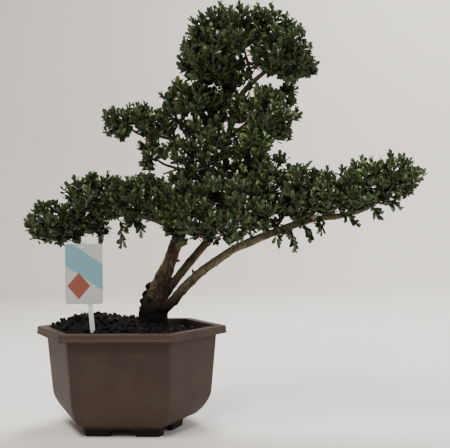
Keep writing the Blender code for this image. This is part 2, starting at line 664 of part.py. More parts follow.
class Canopy:
    """Grows the pads one after another and keeps their leaves clear of each other and of the wood."""

    def __init__(self, wood_cutter):
        bm = bmesh.new()
        bm.from_mesh(wood_cutter.data)
        self.wood_tree = BVHTree.FromBMesh(bm)
        bm.free()
        self.wood_cutter = wood_cutter
        self.draw = random.Random(DRAW_SEED)
        self.whorl_trees = {name: [] for name in PADS}
        self.core_trees = {}
        for name, lumps in PADS.items():
            self.core_trees[name] = [BVHTree.FromBMesh(lump_core(*lump)) for lump in lumps]

    def is_clear(self, name, bm, place):
        """True if a whorl meets no wood, no other whorl and no other pad's core."""
        tree = grown_tree(bm, place)
        if tree.overlap(self.wood_tree):
            return False
        if any(tree.overlap(whorl) for whorls in self.whorl_trees.values() for whorl in whorls):
            return False
        for other, trees in self.core_trees.items():
            if other == name:
                continue
            if any(tree.overlap(core) for core in trees):
                return False
            if any(scaled_distance(place, *lump) < CORE_SHARE for lump in PADS[other]):
                return False
        return True

    def try_whorl(self, name, place, axis, root, pieces):
        """Add a whorl on its stem if it is clear, with a few tries at another turn."""
        for _ in range(WHORL_TRIES):
            jitter = Vector(self.draw.uniform(-WHORL_LEAN, WHORL_LEAN) for _ in range(3))
            lean = (axis + jitter).normalized()
            size = self.draw.uniform(0.88, 1.12)
            whorl = leaf_whorl(place, lean, self.draw.uniform(0, math.tau), root, size)
            if self.is_clear(name, whorl, place):
                self.whorl_trees[name].append(BVHTree.FromBMesh(whorl))
                new_object("whorl", whorl, pieces)
                return
            whorl.free()

    def cover_lump(self, name, centre, radii, pieces):
        """Set whorls evenly over a lump, where no other lump of the pad buries them."""
        others = [lump for lump in PADS[name] if lump[0] != centre]
        count = max(WHORL_LEAST, round(ellipsoid_area(radii) * WHORL_SHARE ** 2 / WHORL_SPACING ** 2))
        for direction in even_directions(count):
            outline = Vector(a * b for a, b in zip(direction, radii))
            place = Vector(centre) + outline * WHORL_SHARE
            if any(scaled_distance(place, *lump) < WHORL_SHARE * 0.94 for lump in others):
                continue
            normal = Vector(a / b for a, b in zip(direction, radii)).normalized()
            root = Vector(centre) + outline * ROOT_SHARE
            self.try_whorl(name, place, normal + UP * WHORL_RISE, root, pieces)

    def hang_twig(self, name, points, pieces):
        """A thin twig that hangs from a pad, with whorls at its end and half way."""
        route = [Vector(point) for point in points]
        for k, (start, end) in enumerate(zip(route, route[1:])):
            reach = (end - start).normalized() * TWIG_RADIUS
            new_object("twig", twig_bar(start - reach, end + reach), pieces)
            whorl = leaf_whorl(end, HANGING_AXIS, HANGING_SPIN * k, end - reach * 3, HANGING_SIZE,
                               HANGING_LEAVES)
            self.whorl_trees[name].append(BVHTree.FromBMesh(whorl))
            new_object("whorl", whorl, pieces)

    def grow_pad(self, name, collection, material):
        """Build one pad: its core, its whorls and its hanging twigs, joined and socketed on the wood."""
        pieces = new_collection("pad_pieces")
        for centre, radii in PADS[name]:
            new_object("core", lump_core(centre, radii), pieces)
        lumps = PADS[name]
        for (start, start_radii), (end, end_radii) in zip(lumps, lumps[1:]):
            link = ((*start, start_radii[2] * LINK_SHARE), (*end, end_radii[2] * LINK_SHARE))
            tube("link", link, pieces, TUBE_SIDES_THIN, 1)
        for points in HANGING_TWIGS.get(name, ()):
            self.hang_twig(name, points, pieces)
        for centre, radii in PADS[name]:
            self.cover_lump(name, centre, radii, pieces)
        pad = union_collection(pieces, 'MANIFOLD')
        add_boolean(pad, 'DIFFERENCE', 'MANIFOLD', other=self.wood_cutter)
        apply_modifiers(pad)
        keep_largest_body(pad)
        pieces.objects.unlink(pad)
        bpy.data.collections.remove(pieces)
        collection.objects.link(pad)
        pad.name = name
        pad.data.materials.clear()
        pad.data.materials.append(material)
        return pad


def build_label(collection, cutters, soil_cutters):
    """The card with its oval hole, and the stake behind it with a peg through the hole."""
    x, y, z = CARD_CENTRE
    bm = box((CARD_WIDTH, CARD_THICKNESS, CARD_HEIGHT), Matrix.Translation(CARD_CENTRE))
    upright = [edge for edge in bm.edges if abs(edge.verts[0].co.y - edge.verts[1].co.y) > WELD]
    bmesh.ops.bevel(bm, geom=upright, offset=CARD_CORNER, offset_type='OFFSET', segments=4,
                    profile=0.5, affect='EDGES', material=-1)
    card = new_object("label_card", bm, collection, make_material("card"))
    hole_height = z + CARD_HEIGHT / 2 - CARD_HOLE_DROP
    bm = bmesh.new()
    bmesh.ops.create_cone(bm, cap_ends=True, segments=16, radius1=0.5, radius2=0.5, depth=0.01)
    bmesh.ops.scale(bm, vec=(CARD_HOLE[0], CARD_HOLE[1], 1.0), verts=bm.verts)
    turn = Matrix.Translation((x, y, hole_height)) @ Matrix.Rotation(math.pi / 2, 4, 'X')
    bmesh.ops.transform(bm, matrix=turn, verts=bm.verts)
    hole = new_object("card_hole_cutter", bm, cutters)
    hide_as_cutter(hole)
    add_boolean(card, 'DIFFERENCE', other=hole)

    stake_y = y + CARD_THICKNESS / 2 + TOUCH_GAP + STAKE_THICKNESS / 2
    foot = Vector((STAKE_FOOT[0], stake_y, STAKE_FOOT[1]))
    top = Vector((STAKE_TOP[0], stake_y, STAKE_TOP[1]))
    pieces = new_collection("stake_pieces")
    new_object("stake", stake_shape(foot, top, 0.0), pieces)
    peg_length = STAKE_THICKNESS / 2 + TOUCH_GAP + CARD_THICKNESS + PEG_REACH
    peg_place = Matrix.Translation((x, stake_y - peg_length / 2, hole_height))
    new_object("peg", box((PEG_SIZE[0], peg_length, PEG_SIZE[1]), peg_place), pieces)
    stake = union_collection(pieces, 'EXACT')
    pieces.objects.unlink(stake)
    bpy.data.collections.remove(pieces)
    collection.objects.link(stake)
    stake.name = "label_stake"
    stake.data.materials.append(make_material("stake"))
    socket = new_object("stake_socket_cutter", stake_shape(foot, top, TOUCH_GAP), soil_cutters)
    hide_as_cutter(socket)
    return card, stake


def stake_shape(foot, top, grow):
    """The stake's flat bar with a pointed foot and a rounded top, enlarged by grow."""
    length = (top - foot).length
    bm = box((STAKE_WIDTH + 2 * grow, STAKE_THICKNESS + 2 * grow, length + 2 * grow), Matrix())
    upper = [v for v in bm.verts if v.co.z > 0]
    edges = [e for e in bm.edges if e.verts[0] in upper and e.verts[1] in upper
             and abs(e.verts[0].co.y - e.verts[1].co.y) > WELD]
    bmesh.ops.bevel(bm, geom=edges, offset=STAKE_WIDTH * 0.36, offset_type='OFFSET', segments=3,
                    profile=0.5, affect='EDGES', material=-1)
    bmesh.ops.bisect_plane(bm, geom=bm.verts[:] + bm.edges[:] + bm.faces[:],
                           plane_co=(0, 0, STAKE_POINT - length / 2), plane_no=UP)
    for vert in bm.verts:
        if vert.co.z < -length / 2 + WELD:
            vert.co.x *= 0.25
    lean = Matrix.Rotation(math.atan2(top.x - foot.x, top.z - foot.z), 4, 'Y')
    bmesh.ops.transform(bm, matrix=Matrix.Translation((foot + top) / 2) @ lean, verts=bm.verts)
    return bm


def centre_on_base(parts, cutters):
    """Shift everything so that the origin is the bottom centre of the bounding box."""
    graph = bpy.context.evaluated_depsgraph_get()
    low = Vector((math.inf,) * 3)
    high = Vector((-math.inf,) * 3)
    for obj in parts.objects:
        mesh = obj.evaluated_get(graph).data
        for vert in mesh.vertices:
            place = obj.matrix_world @ vert.co
            low = Vector(map(min, low, place))
            high = Vector(map(max, high, place))
    shift = Matrix.Translation((-(low.x + high.x) / 2, -(low.y + high.y) / 2, -low.z))
    for obj in [*parts.objects, *cutters]:
        obj.data.transform(shift)


def build():
    """Build the whole object."""
    for obj in list(bpy.data.objects):
        bpy.data.objects.remove(obj, do_unlink=True)
    parts = new_collection(COLLECTION_NAME)
    pot_cutters = new_collection("pot_cutters")
    soil_cutters = new_collection("soil_cutters")
    card_cutters = new_collection("card_cutters")

    build_pot(parts, pot_cutters)
    wood = build_wood("trunk_and_branches", parts)
    wood.data.materials.append(make_material("bark"))
    wood_cutter = build_wood("wood_socket_cutter", soil_cutters, SOCKET_GAP)
    hide_as_cutter(wood_cutter)
    build_label(parts, card_cutters, soil_cutters)
    build_soil(parts, soil_cutters)

    leaf = make_material("leaf")
    canopy = Canopy(wood_cutter)
    for name in PADS:
        canopy.grow_pad(name, parts, leaf)
    cutters = [*pot_cutters.objects, *soil_cutters.objects, *card_cutters.objects]
    centre_on_base(parts, cutters)
    for name in ("trunk_and_branches", "pot"):
        mesh = parts.objects[name].data
        mesh.shade_smooth()
        mesh.set_sharp_from_angle(angle=math.radians(38))


build()
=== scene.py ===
"""Holly bonsai in a six-sided plastic pot: the dressed scene.

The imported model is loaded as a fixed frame. Its plain solids are replaced by finished pieces: the
moulded pot, the crumbly soil, the trunk in its bark and the leafy sprays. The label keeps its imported
shape and gets printed and translucent finishes. Lengths are metres. Places are laid out round the
middle of the pot's base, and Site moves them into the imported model's own frame.
"""

import json
import logging
import math
import random
from collections.abc import Iterator, Mapping, Sequence
from dataclasses import dataclass, field
from enum import Enum
from typing import Any

import bmesh
import bpy
from mathutils import Matrix, Vector, kdtree, noise

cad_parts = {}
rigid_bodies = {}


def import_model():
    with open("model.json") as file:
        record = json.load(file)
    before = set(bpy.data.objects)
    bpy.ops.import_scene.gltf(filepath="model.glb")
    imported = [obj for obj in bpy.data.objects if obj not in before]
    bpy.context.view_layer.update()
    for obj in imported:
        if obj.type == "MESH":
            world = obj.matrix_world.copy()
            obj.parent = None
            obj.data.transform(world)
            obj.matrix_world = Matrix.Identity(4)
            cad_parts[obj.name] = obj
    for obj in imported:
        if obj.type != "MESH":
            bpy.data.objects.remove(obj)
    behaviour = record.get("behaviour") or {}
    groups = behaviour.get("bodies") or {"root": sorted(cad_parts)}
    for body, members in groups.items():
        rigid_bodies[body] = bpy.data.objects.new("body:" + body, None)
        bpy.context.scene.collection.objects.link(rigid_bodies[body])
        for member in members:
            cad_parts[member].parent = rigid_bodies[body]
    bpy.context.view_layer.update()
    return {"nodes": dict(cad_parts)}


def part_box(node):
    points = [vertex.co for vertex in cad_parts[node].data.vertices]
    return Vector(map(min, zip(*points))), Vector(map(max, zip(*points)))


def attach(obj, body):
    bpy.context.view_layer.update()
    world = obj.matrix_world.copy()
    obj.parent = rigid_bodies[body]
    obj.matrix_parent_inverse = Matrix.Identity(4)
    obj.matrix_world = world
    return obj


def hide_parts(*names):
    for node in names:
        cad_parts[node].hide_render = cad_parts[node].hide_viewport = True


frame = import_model()
LOG = logging.getLogger("bonsai")
UP = Vector((0.0, 0.0, 1.0))
MM = 0.001
WELD = 0.00001              # merge distance for seams and poles
BODY = "root"

Colour = tuple[float, float, float, float]
Limb = tuple[tuple[float, float, float, float], ...]
Triple = tuple[float, float, float]
Lump = tuple[Triple, Triple]


class Slot(Enum):
    """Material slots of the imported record."""

    POT = "pot"
    SOIL = "soil"
    BARK = "bark"
    LEAF = "leaf"


# Wood: each limb is a list of points x, y, z and the radius there
MAIN_STEM: Limb = (
    (0.038, 0.000, 0.135, 0.0225), (0.038, 0.000, 0.158, 0.0240), (0.038, 0.000, 0.178, 0.0245),
    (0.040, 0.000, 0.200, 0.0225), (0.045, 0.000, 0.220, 0.0188), (0.052, 0.000, 0.240, 0.0146),
    (0.066, 0.000, 0.270, 0.0112), (0.078, 0.000, 0.302, 0.0110), (0.088, 0.000, 0.323, 0.0095),
    (0.094, -0.002, 0.346, 0.0084), (0.101, -0.004, 0.390, 0.0068), (0.107, -0.002, 0.434, 0.0054),
    (0.112, 0.000, 0.480, 0.0043), (0.113, 0.000, 0.515, 0.0030), (0.109, 0.000, 0.545, 0.0020),
)
MIDDLE_STEM: Limb = (
    (0.050, 0.004, 0.208, 0.0090), (0.072, 0.010, 0.239, 0.0074), (0.101, 0.018, 0.275, 0.0071),
    (0.132, 0.024, 0.312, 0.0069), (0.152, 0.026, 0.346, 0.0063), (0.160, 0.022, 0.398, 0.0057),
    (0.166, 0.015, 0.458, 0.0051), (0.175, 0.008, 0.510, 0.0048), (0.191, 0.002, 0.552, 0.0047),
    (0.212, 0.000, 0.576, 0.0045), (0.238, 0.000, 0.597, 0.0037), (0.262, -0.004, 0.613, 0.0026),
    (0.276, -0.006, 0.624, 0.0016),
)
RIGHT_LIMB: Limb = (
    (0.047, -0.002, 0.188, 0.0110), (0.070, -0.008, 0.206, 0.0088), (0.094, -0.012, 0.232, 0.0080),
    (0.126, -0.014, 0.261, 0.0075), (0.175, -0.012, 0.294, 0.0067), (0.199, -0.010, 0.305, 0.0070),
    (0.242, -0.006, 0.322, 0.0066), (0.303, -0.002, 0.342, 0.0055), (0.361, 0.002, 0.350, 0.0044),
    (0.400, 0.003, 0.361, 0.0034), (0.430, 0.003, 0.380, 0.0024), (0.450, 0.002, 0.400, 0.0016),
)
ROOT_FLARES: tuple[Limb, ...] = (
    ((0.040, -0.006, 0.192, 0.0100), (0.027, -0.013, 0.172, 0.0070), (0.020, -0.017, 0.158, 0.0055)),
    ((0.042, -0.006, 0.188, 0.0100), (0.047, -0.015, 0.170, 0.0060), (0.050, -0.018, 0.156, 0.0050)),
    ((0.040, 0.006, 0.190, 0.0100), (0.038, 0.019, 0.172, 0.0065), (0.037, 0.024, 0.156, 0.0055)),
)
CUT_STUBS: tuple[Limb, ...] = (
    ((0.041, 0.000, 0.221, 0.0060), (0.029, -0.003, 0.221, 0.0052), (0.021, -0.004, 0.219, 0.0034)),
    ((0.046, 0.000, 0.238, 0.0050), (0.035, -0.004, 0.238, 0.0046), (0.028, -0.006, 0.235, 0.0030)),
    ((0.072, 0.000, 0.275, 0.0030), (0.081, -0.003, 0.277, 0.0026), (0.087, -0.004, 0.278, 0.0020)),
    ((0.081, 0.000, 0.303, 0.0050), (0.092, -0.003, 0.306, 0.0042), (0.100, -0.004, 0.307, 0.0028)),
    ((0.113, -0.014, 0.249, 0.0030), (0.110, -0.016, 0.258, 0.0024), (0.108, -0.016, 0.265, 0.0015)),
)
BRANCHES: tuple[Limb, ...] = (
    # Lower left limb, with two side shoots
    ((0.088, 0.000, 0.323, 0.0066), (0.067, -0.006, 0.338, 0.0054), (0.037, -0.012, 0.350, 0.0046),
     (0.000, -0.014, 0.358, 0.0040), (-0.038, -0.012, 0.359, 0.0035), (-0.075, -0.010, 0.353, 0.0028),
     (-0.112, -0.010, 0.347, 0.0021), (-0.135, -0.010, 0.346, 0.0015)),
    ((-0.038, -0.012, 0.359, 0.0027), (-0.058, -0.010, 0.369, 0.0021), (-0.073, -0.008, 0.384, 0.0014)),
    ((0.037, -0.012, 0.350, 0.0027), (0.022, -0.012, 0.367, 0.0021), (0.004, -0.010, 0.384, 0.0014)),
    # Bare twig and its stub on the left
    ((0.103, -0.004, 0.410, 0.0029), (0.084, -0.006, 0.432, 0.0025), (0.064, -0.008, 0.440, 0.0020),
     (0.050, -0.010, 0.449, 0.0017), (0.041, -0.010, 0.460, 0.0013)),
    ((0.084, -0.006, 0.432, 0.0019), (0.060, -0.010, 0.424, 0.0014)),
    # Upper left limb, and its shoot to the clump in front
    ((0.111, 0.000, 0.468, 0.0036), (0.084, 0.004, 0.481, 0.0029), (0.053, 0.007, 0.490, 0.0025),
     (0.023, 0.009, 0.493, 0.0021), (0.000, 0.010, 0.506, 0.0017), (-0.014, 0.010, 0.516, 0.0013)),
    ((0.109, 0.000, 0.452, 0.0030), (0.098, -0.010, 0.463, 0.0023), (0.086, -0.022, 0.474, 0.0015)),
    # Middle clumps
    ((0.170, 0.012, 0.484, 0.0034), (0.190, 0.006, 0.500, 0.0028), (0.211, 0.000, 0.515, 0.0022),
     (0.228, 0.000, 0.528, 0.0015)),
    ((0.175, 0.008, 0.508, 0.0030), (0.160, 0.014, 0.528, 0.0022), (0.150, 0.018, 0.545, 0.0015)),
    # Crown
    ((0.191, 0.002, 0.552, 0.0036), (0.176, 0.000, 0.575, 0.0031), (0.158, 0.000, 0.600, 0.0025),
     (0.143, 0.000, 0.622, 0.0020), (0.134, 0.000, 0.638, 0.0014)),
    ((0.212, 0.000, 0.576, 0.0030), (0.207, 0.000, 0.605, 0.0025), (0.198, -0.004, 0.635, 0.0019),
     (0.184, -0.012, 0.657, 0.0014)),
    # Centre: to the front, to the back and to the right
    ((0.094, -0.002, 0.346, 0.0034), (0.099, -0.024, 0.356, 0.0026), (0.103, -0.044, 0.364, 0.0018)),
    ((0.145, 0.026, 0.331, 0.0036), (0.154, -0.006, 0.342, 0.0029), (0.160, -0.036, 0.351, 0.0022),
     (0.163, -0.058, 0.357, 0.0015)),
    ((0.159, 0.024, 0.380, 0.0034), (0.164, 0.042, 0.399, 0.0026), (0.172, 0.058, 0.415, 0.0018)),
    ((0.154, 0.026, 0.353, 0.0034), (0.178, 0.012, 0.360, 0.0027), (0.204, 0.000, 0.366, 0.0018)),
    # Right pads
    ((0.242, -0.006, 0.321, 0.0036), (0.258, -0.003, 0.345, 0.0028), (0.273, 0.000, 0.367, 0.0021),
     (0.283, 0.000, 0.386, 0.0014)),
    ((0.303, -0.002, 0.345, 0.0032), (0.319, 0.000, 0.363, 0.0023), (0.330, 0.000, 0.380, 0.0015)),
    ((0.361, 0.002, 0.356, 0.0028), (0.373, 0.002, 0.374, 0.0020), (0.383, 0.000, 0.391, 0.0014)),
)
# Foliage: the lumps of each pad, each a centre and the radii of its leafy outline
PADS: dict[str, tuple[Lump, ...]] = {
    "crown_left": (
        ((0.137, 0.000, 0.634), (0.048, 0.070, 0.052)),
        ((0.172, -0.015, 0.664), (0.049, 0.060, 0.038)),
        ((0.118, 0.025, 0.615), (0.036, 0.050, 0.036)),
        ((0.160, 0.010, 0.600), (0.032, 0.045, 0.030)),
    ),
    "crown_right": (
        ((0.264, 0.000, 0.634), (0.050, 0.070, 0.054)),
        ((0.246, 0.015, 0.671), (0.044, 0.058, 0.034)),
        ((0.286, -0.015, 0.611), (0.031, 0.050, 0.036)),
    ),
    "middle_left": (
        ((0.103, 0.000, 0.546), (0.034, 0.048, 0.036)),
        ((0.148, 0.020, 0.552), (0.029, 0.050, 0.038)),
    ),
    "middle_right": (
        ((0.235, 0.000, 0.528), (0.046, 0.058, 0.043)),
        ((0.215, -0.006, 0.485), (0.038, 0.050, 0.029)),
    ),
    "upper_left": (
        ((-0.003, 0.010, 0.519), (0.040, 0.044, 0.025)),
        ((0.041, 0.010, 0.515), (0.030, 0.044, 0.028)),
    ),
    "small_spray": (
        ((0.042, -0.010, 0.460), (0.025, 0.032, 0.022)),
    ),
    "middle_inner": (
        ((0.082, -0.026, 0.478), (0.030, 0.036, 0.028)),
        ((0.134, -0.020, 0.490), (0.032, 0.036, 0.032)),
    ),
    "lower_left_tip": (
        ((-0.132, -0.010, 0.347), (0.043, 0.048, 0.030)),
        ((-0.079, -0.010, 0.373), (0.038, 0.052, 0.043)),
    ),
    "lower_left": (
        ((-0.007, -0.010, 0.387), (0.040, 0.052, 0.035)),
        ((0.042, -0.010, 0.388), (0.034, 0.048, 0.034)),
    ),
    "centre_front": (
        ((0.102, -0.050, 0.366), (0.042, 0.048, 0.048)),
        ((0.163, -0.066, 0.356), (0.044, 0.042, 0.041)),
        ((0.147, -0.055, 0.408), (0.044, 0.044, 0.030)),
    ),
    "centre_back": (
        ((0.180, 0.060, 0.420), (0.055, 0.050, 0.050)),
        ((0.123, 0.066, 0.400), (0.046, 0.048, 0.046)),
    ),
    "centre_right": (
        ((0.214, -0.010, 0.369), (0.038, 0.050, 0.042)),
        ((0.232, -0.004, 0.414), (0.040, 0.046, 0.038)),
    ),
    "right_inner": (
        ((0.285, 0.000, 0.389), (0.044, 0.054, 0.043)),
        ((0.328, 0.000, 0.385), (0.036, 0.054, 0.036)),
    ),
    "right_tip": (
        ((0.388, 0.000, 0.396), (0.042, 0.054, 0.037)),
        ((0.442, 0.000, 0.412), (0.048, 0.044, 0.031)),
    ),
}
# Tufts that make up each pad, seen from the front: x, z and radius in millimetres
TUFTS: dict[str, tuple[tuple[int, int, int], ...]] = {
    "crown_left": (
        (168, 596, 9), (182, 579, 10), (165, 617, 7),
        (130, 677, 19), (154, 690, 19), (178, 684, 19), (200, 690, 17), (120, 656, 17), (145, 658, 20),
        (173, 657, 20), (198, 660, 19), (104, 639, 15), (104, 613, 17), (126, 628, 19), (124, 599, 19),
        (148, 603, 19), (147, 631, 12), (161, 584, 15), (136, 583, 14), (175, 606, 8), (185, 585, 8),
        (110, 593, 12), (188, 640, 12), (192, 613, 9), (171, 628, 11),
    ),
    "crown_right": (
        (204, 593, 9), (192, 604, 8), (210, 574, 8), (201, 637, 9),
        (197, 582, 8),
        (227, 687, 19), (249, 685, 18), (269, 672, 17), (225, 659, 20), (250, 654, 20), (276, 648, 17),
        (291, 653, 12), (292, 636, 13), (232, 630, 17), (257, 627, 20), (280, 619, 17), (297, 609, 15),
        (307, 598, 12), (245, 604, 15), (266, 598, 15), (285, 589, 13), (221, 610, 10), (276, 566, 10),
        (302, 627, 8), (210, 676, 14),
    ),
    "middle_left": (
        (132, 514, 8), (145, 524, 9),
        (91, 569, 17), (79, 563, 12), (113, 562, 15), (96, 542, 17), (75, 541, 12), (120, 540, 17),
        (142, 546, 20), (164, 549, 15), (149, 523, 19), (173, 526, 15), (170, 569, 14), (134, 561, 12),
        (70, 553, 9),
    ),
    "middle_right": (
        (229, 557, 13), (251, 553, 12), (268, 566, 8), (274, 547, 10), (193, 546, 15), (213, 537, 15),
        (239, 531, 18), (262, 525, 17), (277, 522, 12), (193, 521, 17), (218, 510, 19), (243, 502, 17),
        (265, 500, 13), (182, 495, 17), (204, 483, 17), (229, 479, 15), (251, 487, 12), (221, 462, 13),
        (177, 480, 10), (268, 483, 8), (190, 466, 14),
    ),
    "upper_left": (
        (-27, 523, 16), (-32, 504, 12), (-6, 524, 16), (-11, 502, 16), (17, 524, 17), (25, 539, 10),
        (37, 521, 16), (40, 499, 14), (60, 531, 14), (65, 510, 17), (78, 495, 14), (87, 513, 14),
        (99, 499, 15), (27, 506, 10),
    ),
    "small_spray": (
        (25, 474, 12), (42, 478, 12), (38, 460, 14), (56, 463, 12), (35, 443, 12), (71, 471, 12),
        (85, 472, 10),
    ),
    "middle_inner": (
        (105, 475, 15), (128, 468, 17), (86, 454, 14), (110, 448, 17), (134, 442, 17), (155, 459, 15),
        (100, 428, 17), (124, 422, 17), (149, 428, 17), (77, 415, 12), (145, 479, 12), (121, 492, 10),
        (118, 506, 10), (158, 492, 12), (148, 510, 8), (143, 448, 12), (160, 473, 13), (139, 497, 9),
    ),
    "lower_left_tip": (
        (-167, 347, 16), (-153, 369, 14), (-132, 370, 16), (-160, 328, 14), (-141, 326, 14),
        (-139, 348, 16), (-113, 363, 16), (-115, 339, 19), (-120, 320, 11), (-92, 354, 17), (-90, 332, 16),
        (-87, 315, 7), (-98, 394, 12), (-86, 409, 12), (-81, 378, 17), (-65, 409, 16), (-63, 388, 17),
        (-57, 364, 17), (-62, 340, 16), (-43, 340, 12), (-66, 424, 9),
    ),
    "lower_left": (
        (-46, 410, 16), (-37, 388, 17), (-21, 405, 16), (-15, 380, 19), (3, 409, 16), (8, 389, 19),
        (16, 368, 17), (29, 404, 16), (36, 381, 19), (51, 401, 15), (-4, 362, 12), (40, 359, 14),
        (56, 371, 17), (14, 421, 9), (-30, 364, 12), (4, 346, 10), (36, 417, 10),
    ),
    "centre_front": (
        (73, 387, 17), (73, 362, 19), (71, 338, 15), (86, 324, 14), (96, 402, 17), (99, 370, 19),
        (99, 343, 19), (121, 393, 19), (123, 363, 19), (119, 332, 19), (143, 342, 17), (141, 319, 14),
        (165, 330, 15), (171, 311, 10), (187, 352, 17), (182, 377, 15), (179, 402, 15), (145, 410, 14),
        (190, 325, 12), (54, 352, 10),
    ),
    "centre_back": (
        (105, 404, 22), (132, 415, 22), (161, 420, 22), (131, 380, 22), (159, 386, 22), (186, 426, 20),
        (189, 395, 20), (210, 432, 19), (163, 357, 19), (104, 372, 20),
    ),
    "centre_right": (
        (177, 462, 13), (210, 449, 15), (229, 440, 15), (203, 419, 17), (225, 415, 18), (244, 425, 13),
        (235, 393, 17), (210, 392, 19), (216, 365, 18), (204, 340, 15), (227, 343, 15), (239, 364, 15),
        (210, 319, 10), (251, 447, 10), (190, 446, 14),
    ),
    "right_inner": (
        (267, 448, 10), (276, 433, 12), (262, 414, 10), (284, 412, 15), (270, 392, 8), (292, 427, 10),
        (261, 366, 15), (248, 346, 12), (268, 368, 12), (282, 366, 9), (287, 384, 17),
        (309, 403, 17), (310, 376, 18), (286, 357, 17),
        (330, 411, 15), (332, 388, 18), (334, 363, 15), (309, 348, 13), (353, 402, 17), (355, 377, 17),
        (357, 356, 12), (312, 422, 10),
    ),
    "right_tip": (
        (359, 424, 12), (375, 412, 16), (378, 387, 16), (379, 365, 13), (392, 432, 15), (401, 408, 18),
        (402, 383, 16), (402, 365, 10), (418, 424, 16), (426, 399, 18), (427, 378, 13), (439, 427, 15),
        (447, 404, 16), (450, 384, 11), (448, 440, 10), (462, 430, 15), (470, 410, 15), (465, 392, 11),
        (483, 416, 11), (491, 415, 6), (377, 347, 8), (420, 360, 8),
    ),
}
# Twigs that hang from a pad's underside: where each one starts and ends
HANGING_TWIGS: dict[str, tuple[tuple[Triple, Triple], ...]] = {
    "lower_left_tip": (
        ((-0.047, -0.016, 0.346), (-0.046, -0.016, 0.316)),
        ((-0.083, -0.012, 0.342), (-0.088, -0.012, 0.313)),
    ),
    "lower_left": (
        ((-0.006, -0.016, 0.358), (-0.010, -0.016, 0.309)),
        ((0.011, -0.018, 0.357), (0.023, -0.018, 0.327)),
    ),
    "right_inner": (
        ((0.268, -0.018, 0.340), (0.280, -0.018, 0.298)),
        ((0.262, -0.014, 0.338), (0.251, -0.014, 0.308)),
        ((0.290, -0.016, 0.346), (0.305, -0.016, 0.316)),
        ((0.315, -0.012, 0.353), (0.325, -0.012, 0.326)),
        ((0.360, -0.010, 0.355), (0.379, -0.010, 0.337)),
    ),
    "right_tip": (
        ((0.407, -0.010, 0.368), (0.418, -0.010, 0.348)),
        ((0.427, -0.012, 0.374), (0.449, -0.012, 0.364)),
    ),
}


def linear(hex_code: str) -> Colour:
    """Turn an sRGB hex code into linear values.

    Args:
        hex_code: six hex digits.

    Returns:
        Linear red, green, blue and an alpha of one.
    """
    values = []
    for start in (0, 2, 4):
        part = int(hex_code[start:start + 2], 16) / 255.0
        values.append(part / 12.92 if part <= 0.04045 else ((part + 0.055) / 1.055) ** 2.4)
    return (*values, 1.0)


def pattern_scale(size_mm: float) -> float:
    """Scale of a pattern on Object coordinates, from the width of its features in millimetres."""
    return 1 / (size_mm * MM)


def add_node(
    tree: bpy.types.NodeTree,
    kind: str,
    inputs: Mapping[str | int, Any] | None = None,
    stops: Sequence[tuple[float, str]] = (),
    **settings: Any,
) -> bpy.types.Node:
    """Add a node with its settings, its input values or links, and its colour stops.

    Args:
        tree: the material's node tree.
        kind: the node's type name.
        inputs: input name or number to a value, or to the socket that feeds it.
        stops: position and hex colour of each stop, for a colour ramp.
        settings: the node's own properties.

    Returns:
        The new node.
    """
    node = tree.nodes.new(kind)
    for name, value in settings.items():
        setattr(node, name, value)
    for key, value in (inputs or {}).items():
        if isinstance(value, bpy.types.NodeSocket):
            tree.links.new(value, node.inputs[key])
        else:
            node.inputs[key].default_value = value
    for index, (position, hex_code) in enumerate(stops):
        elements = node.color_ramp.elements
        element = elements[index] if index < len(elements) else elements.new(position)
        element.position = position
        element.color = linear(hex_code)
    return node


class Finish:
    """A procedural finish. Each kind fills in its own nodes."""

    title: str

    def dress(self, tree: bpy.types.NodeTree, shader: bpy.types.Node) -> None:
        """Add the finish's nodes.

        Args:
            tree: the material's node tree.
            shader: its Principled shader.
        """
        raise NotImplementedError

    def material(self) -> bpy.types.Material:
        """Make the material once, and hand out the same one after that."""
        found = bpy.data.materials.get(self.title)
        if found:
            return found
        material = bpy.data.materials.new(self.title)
        material.use_nodes = True
        self.dress(material.node_tree, material.node_tree.nodes["Principled BSDF"])
        return material


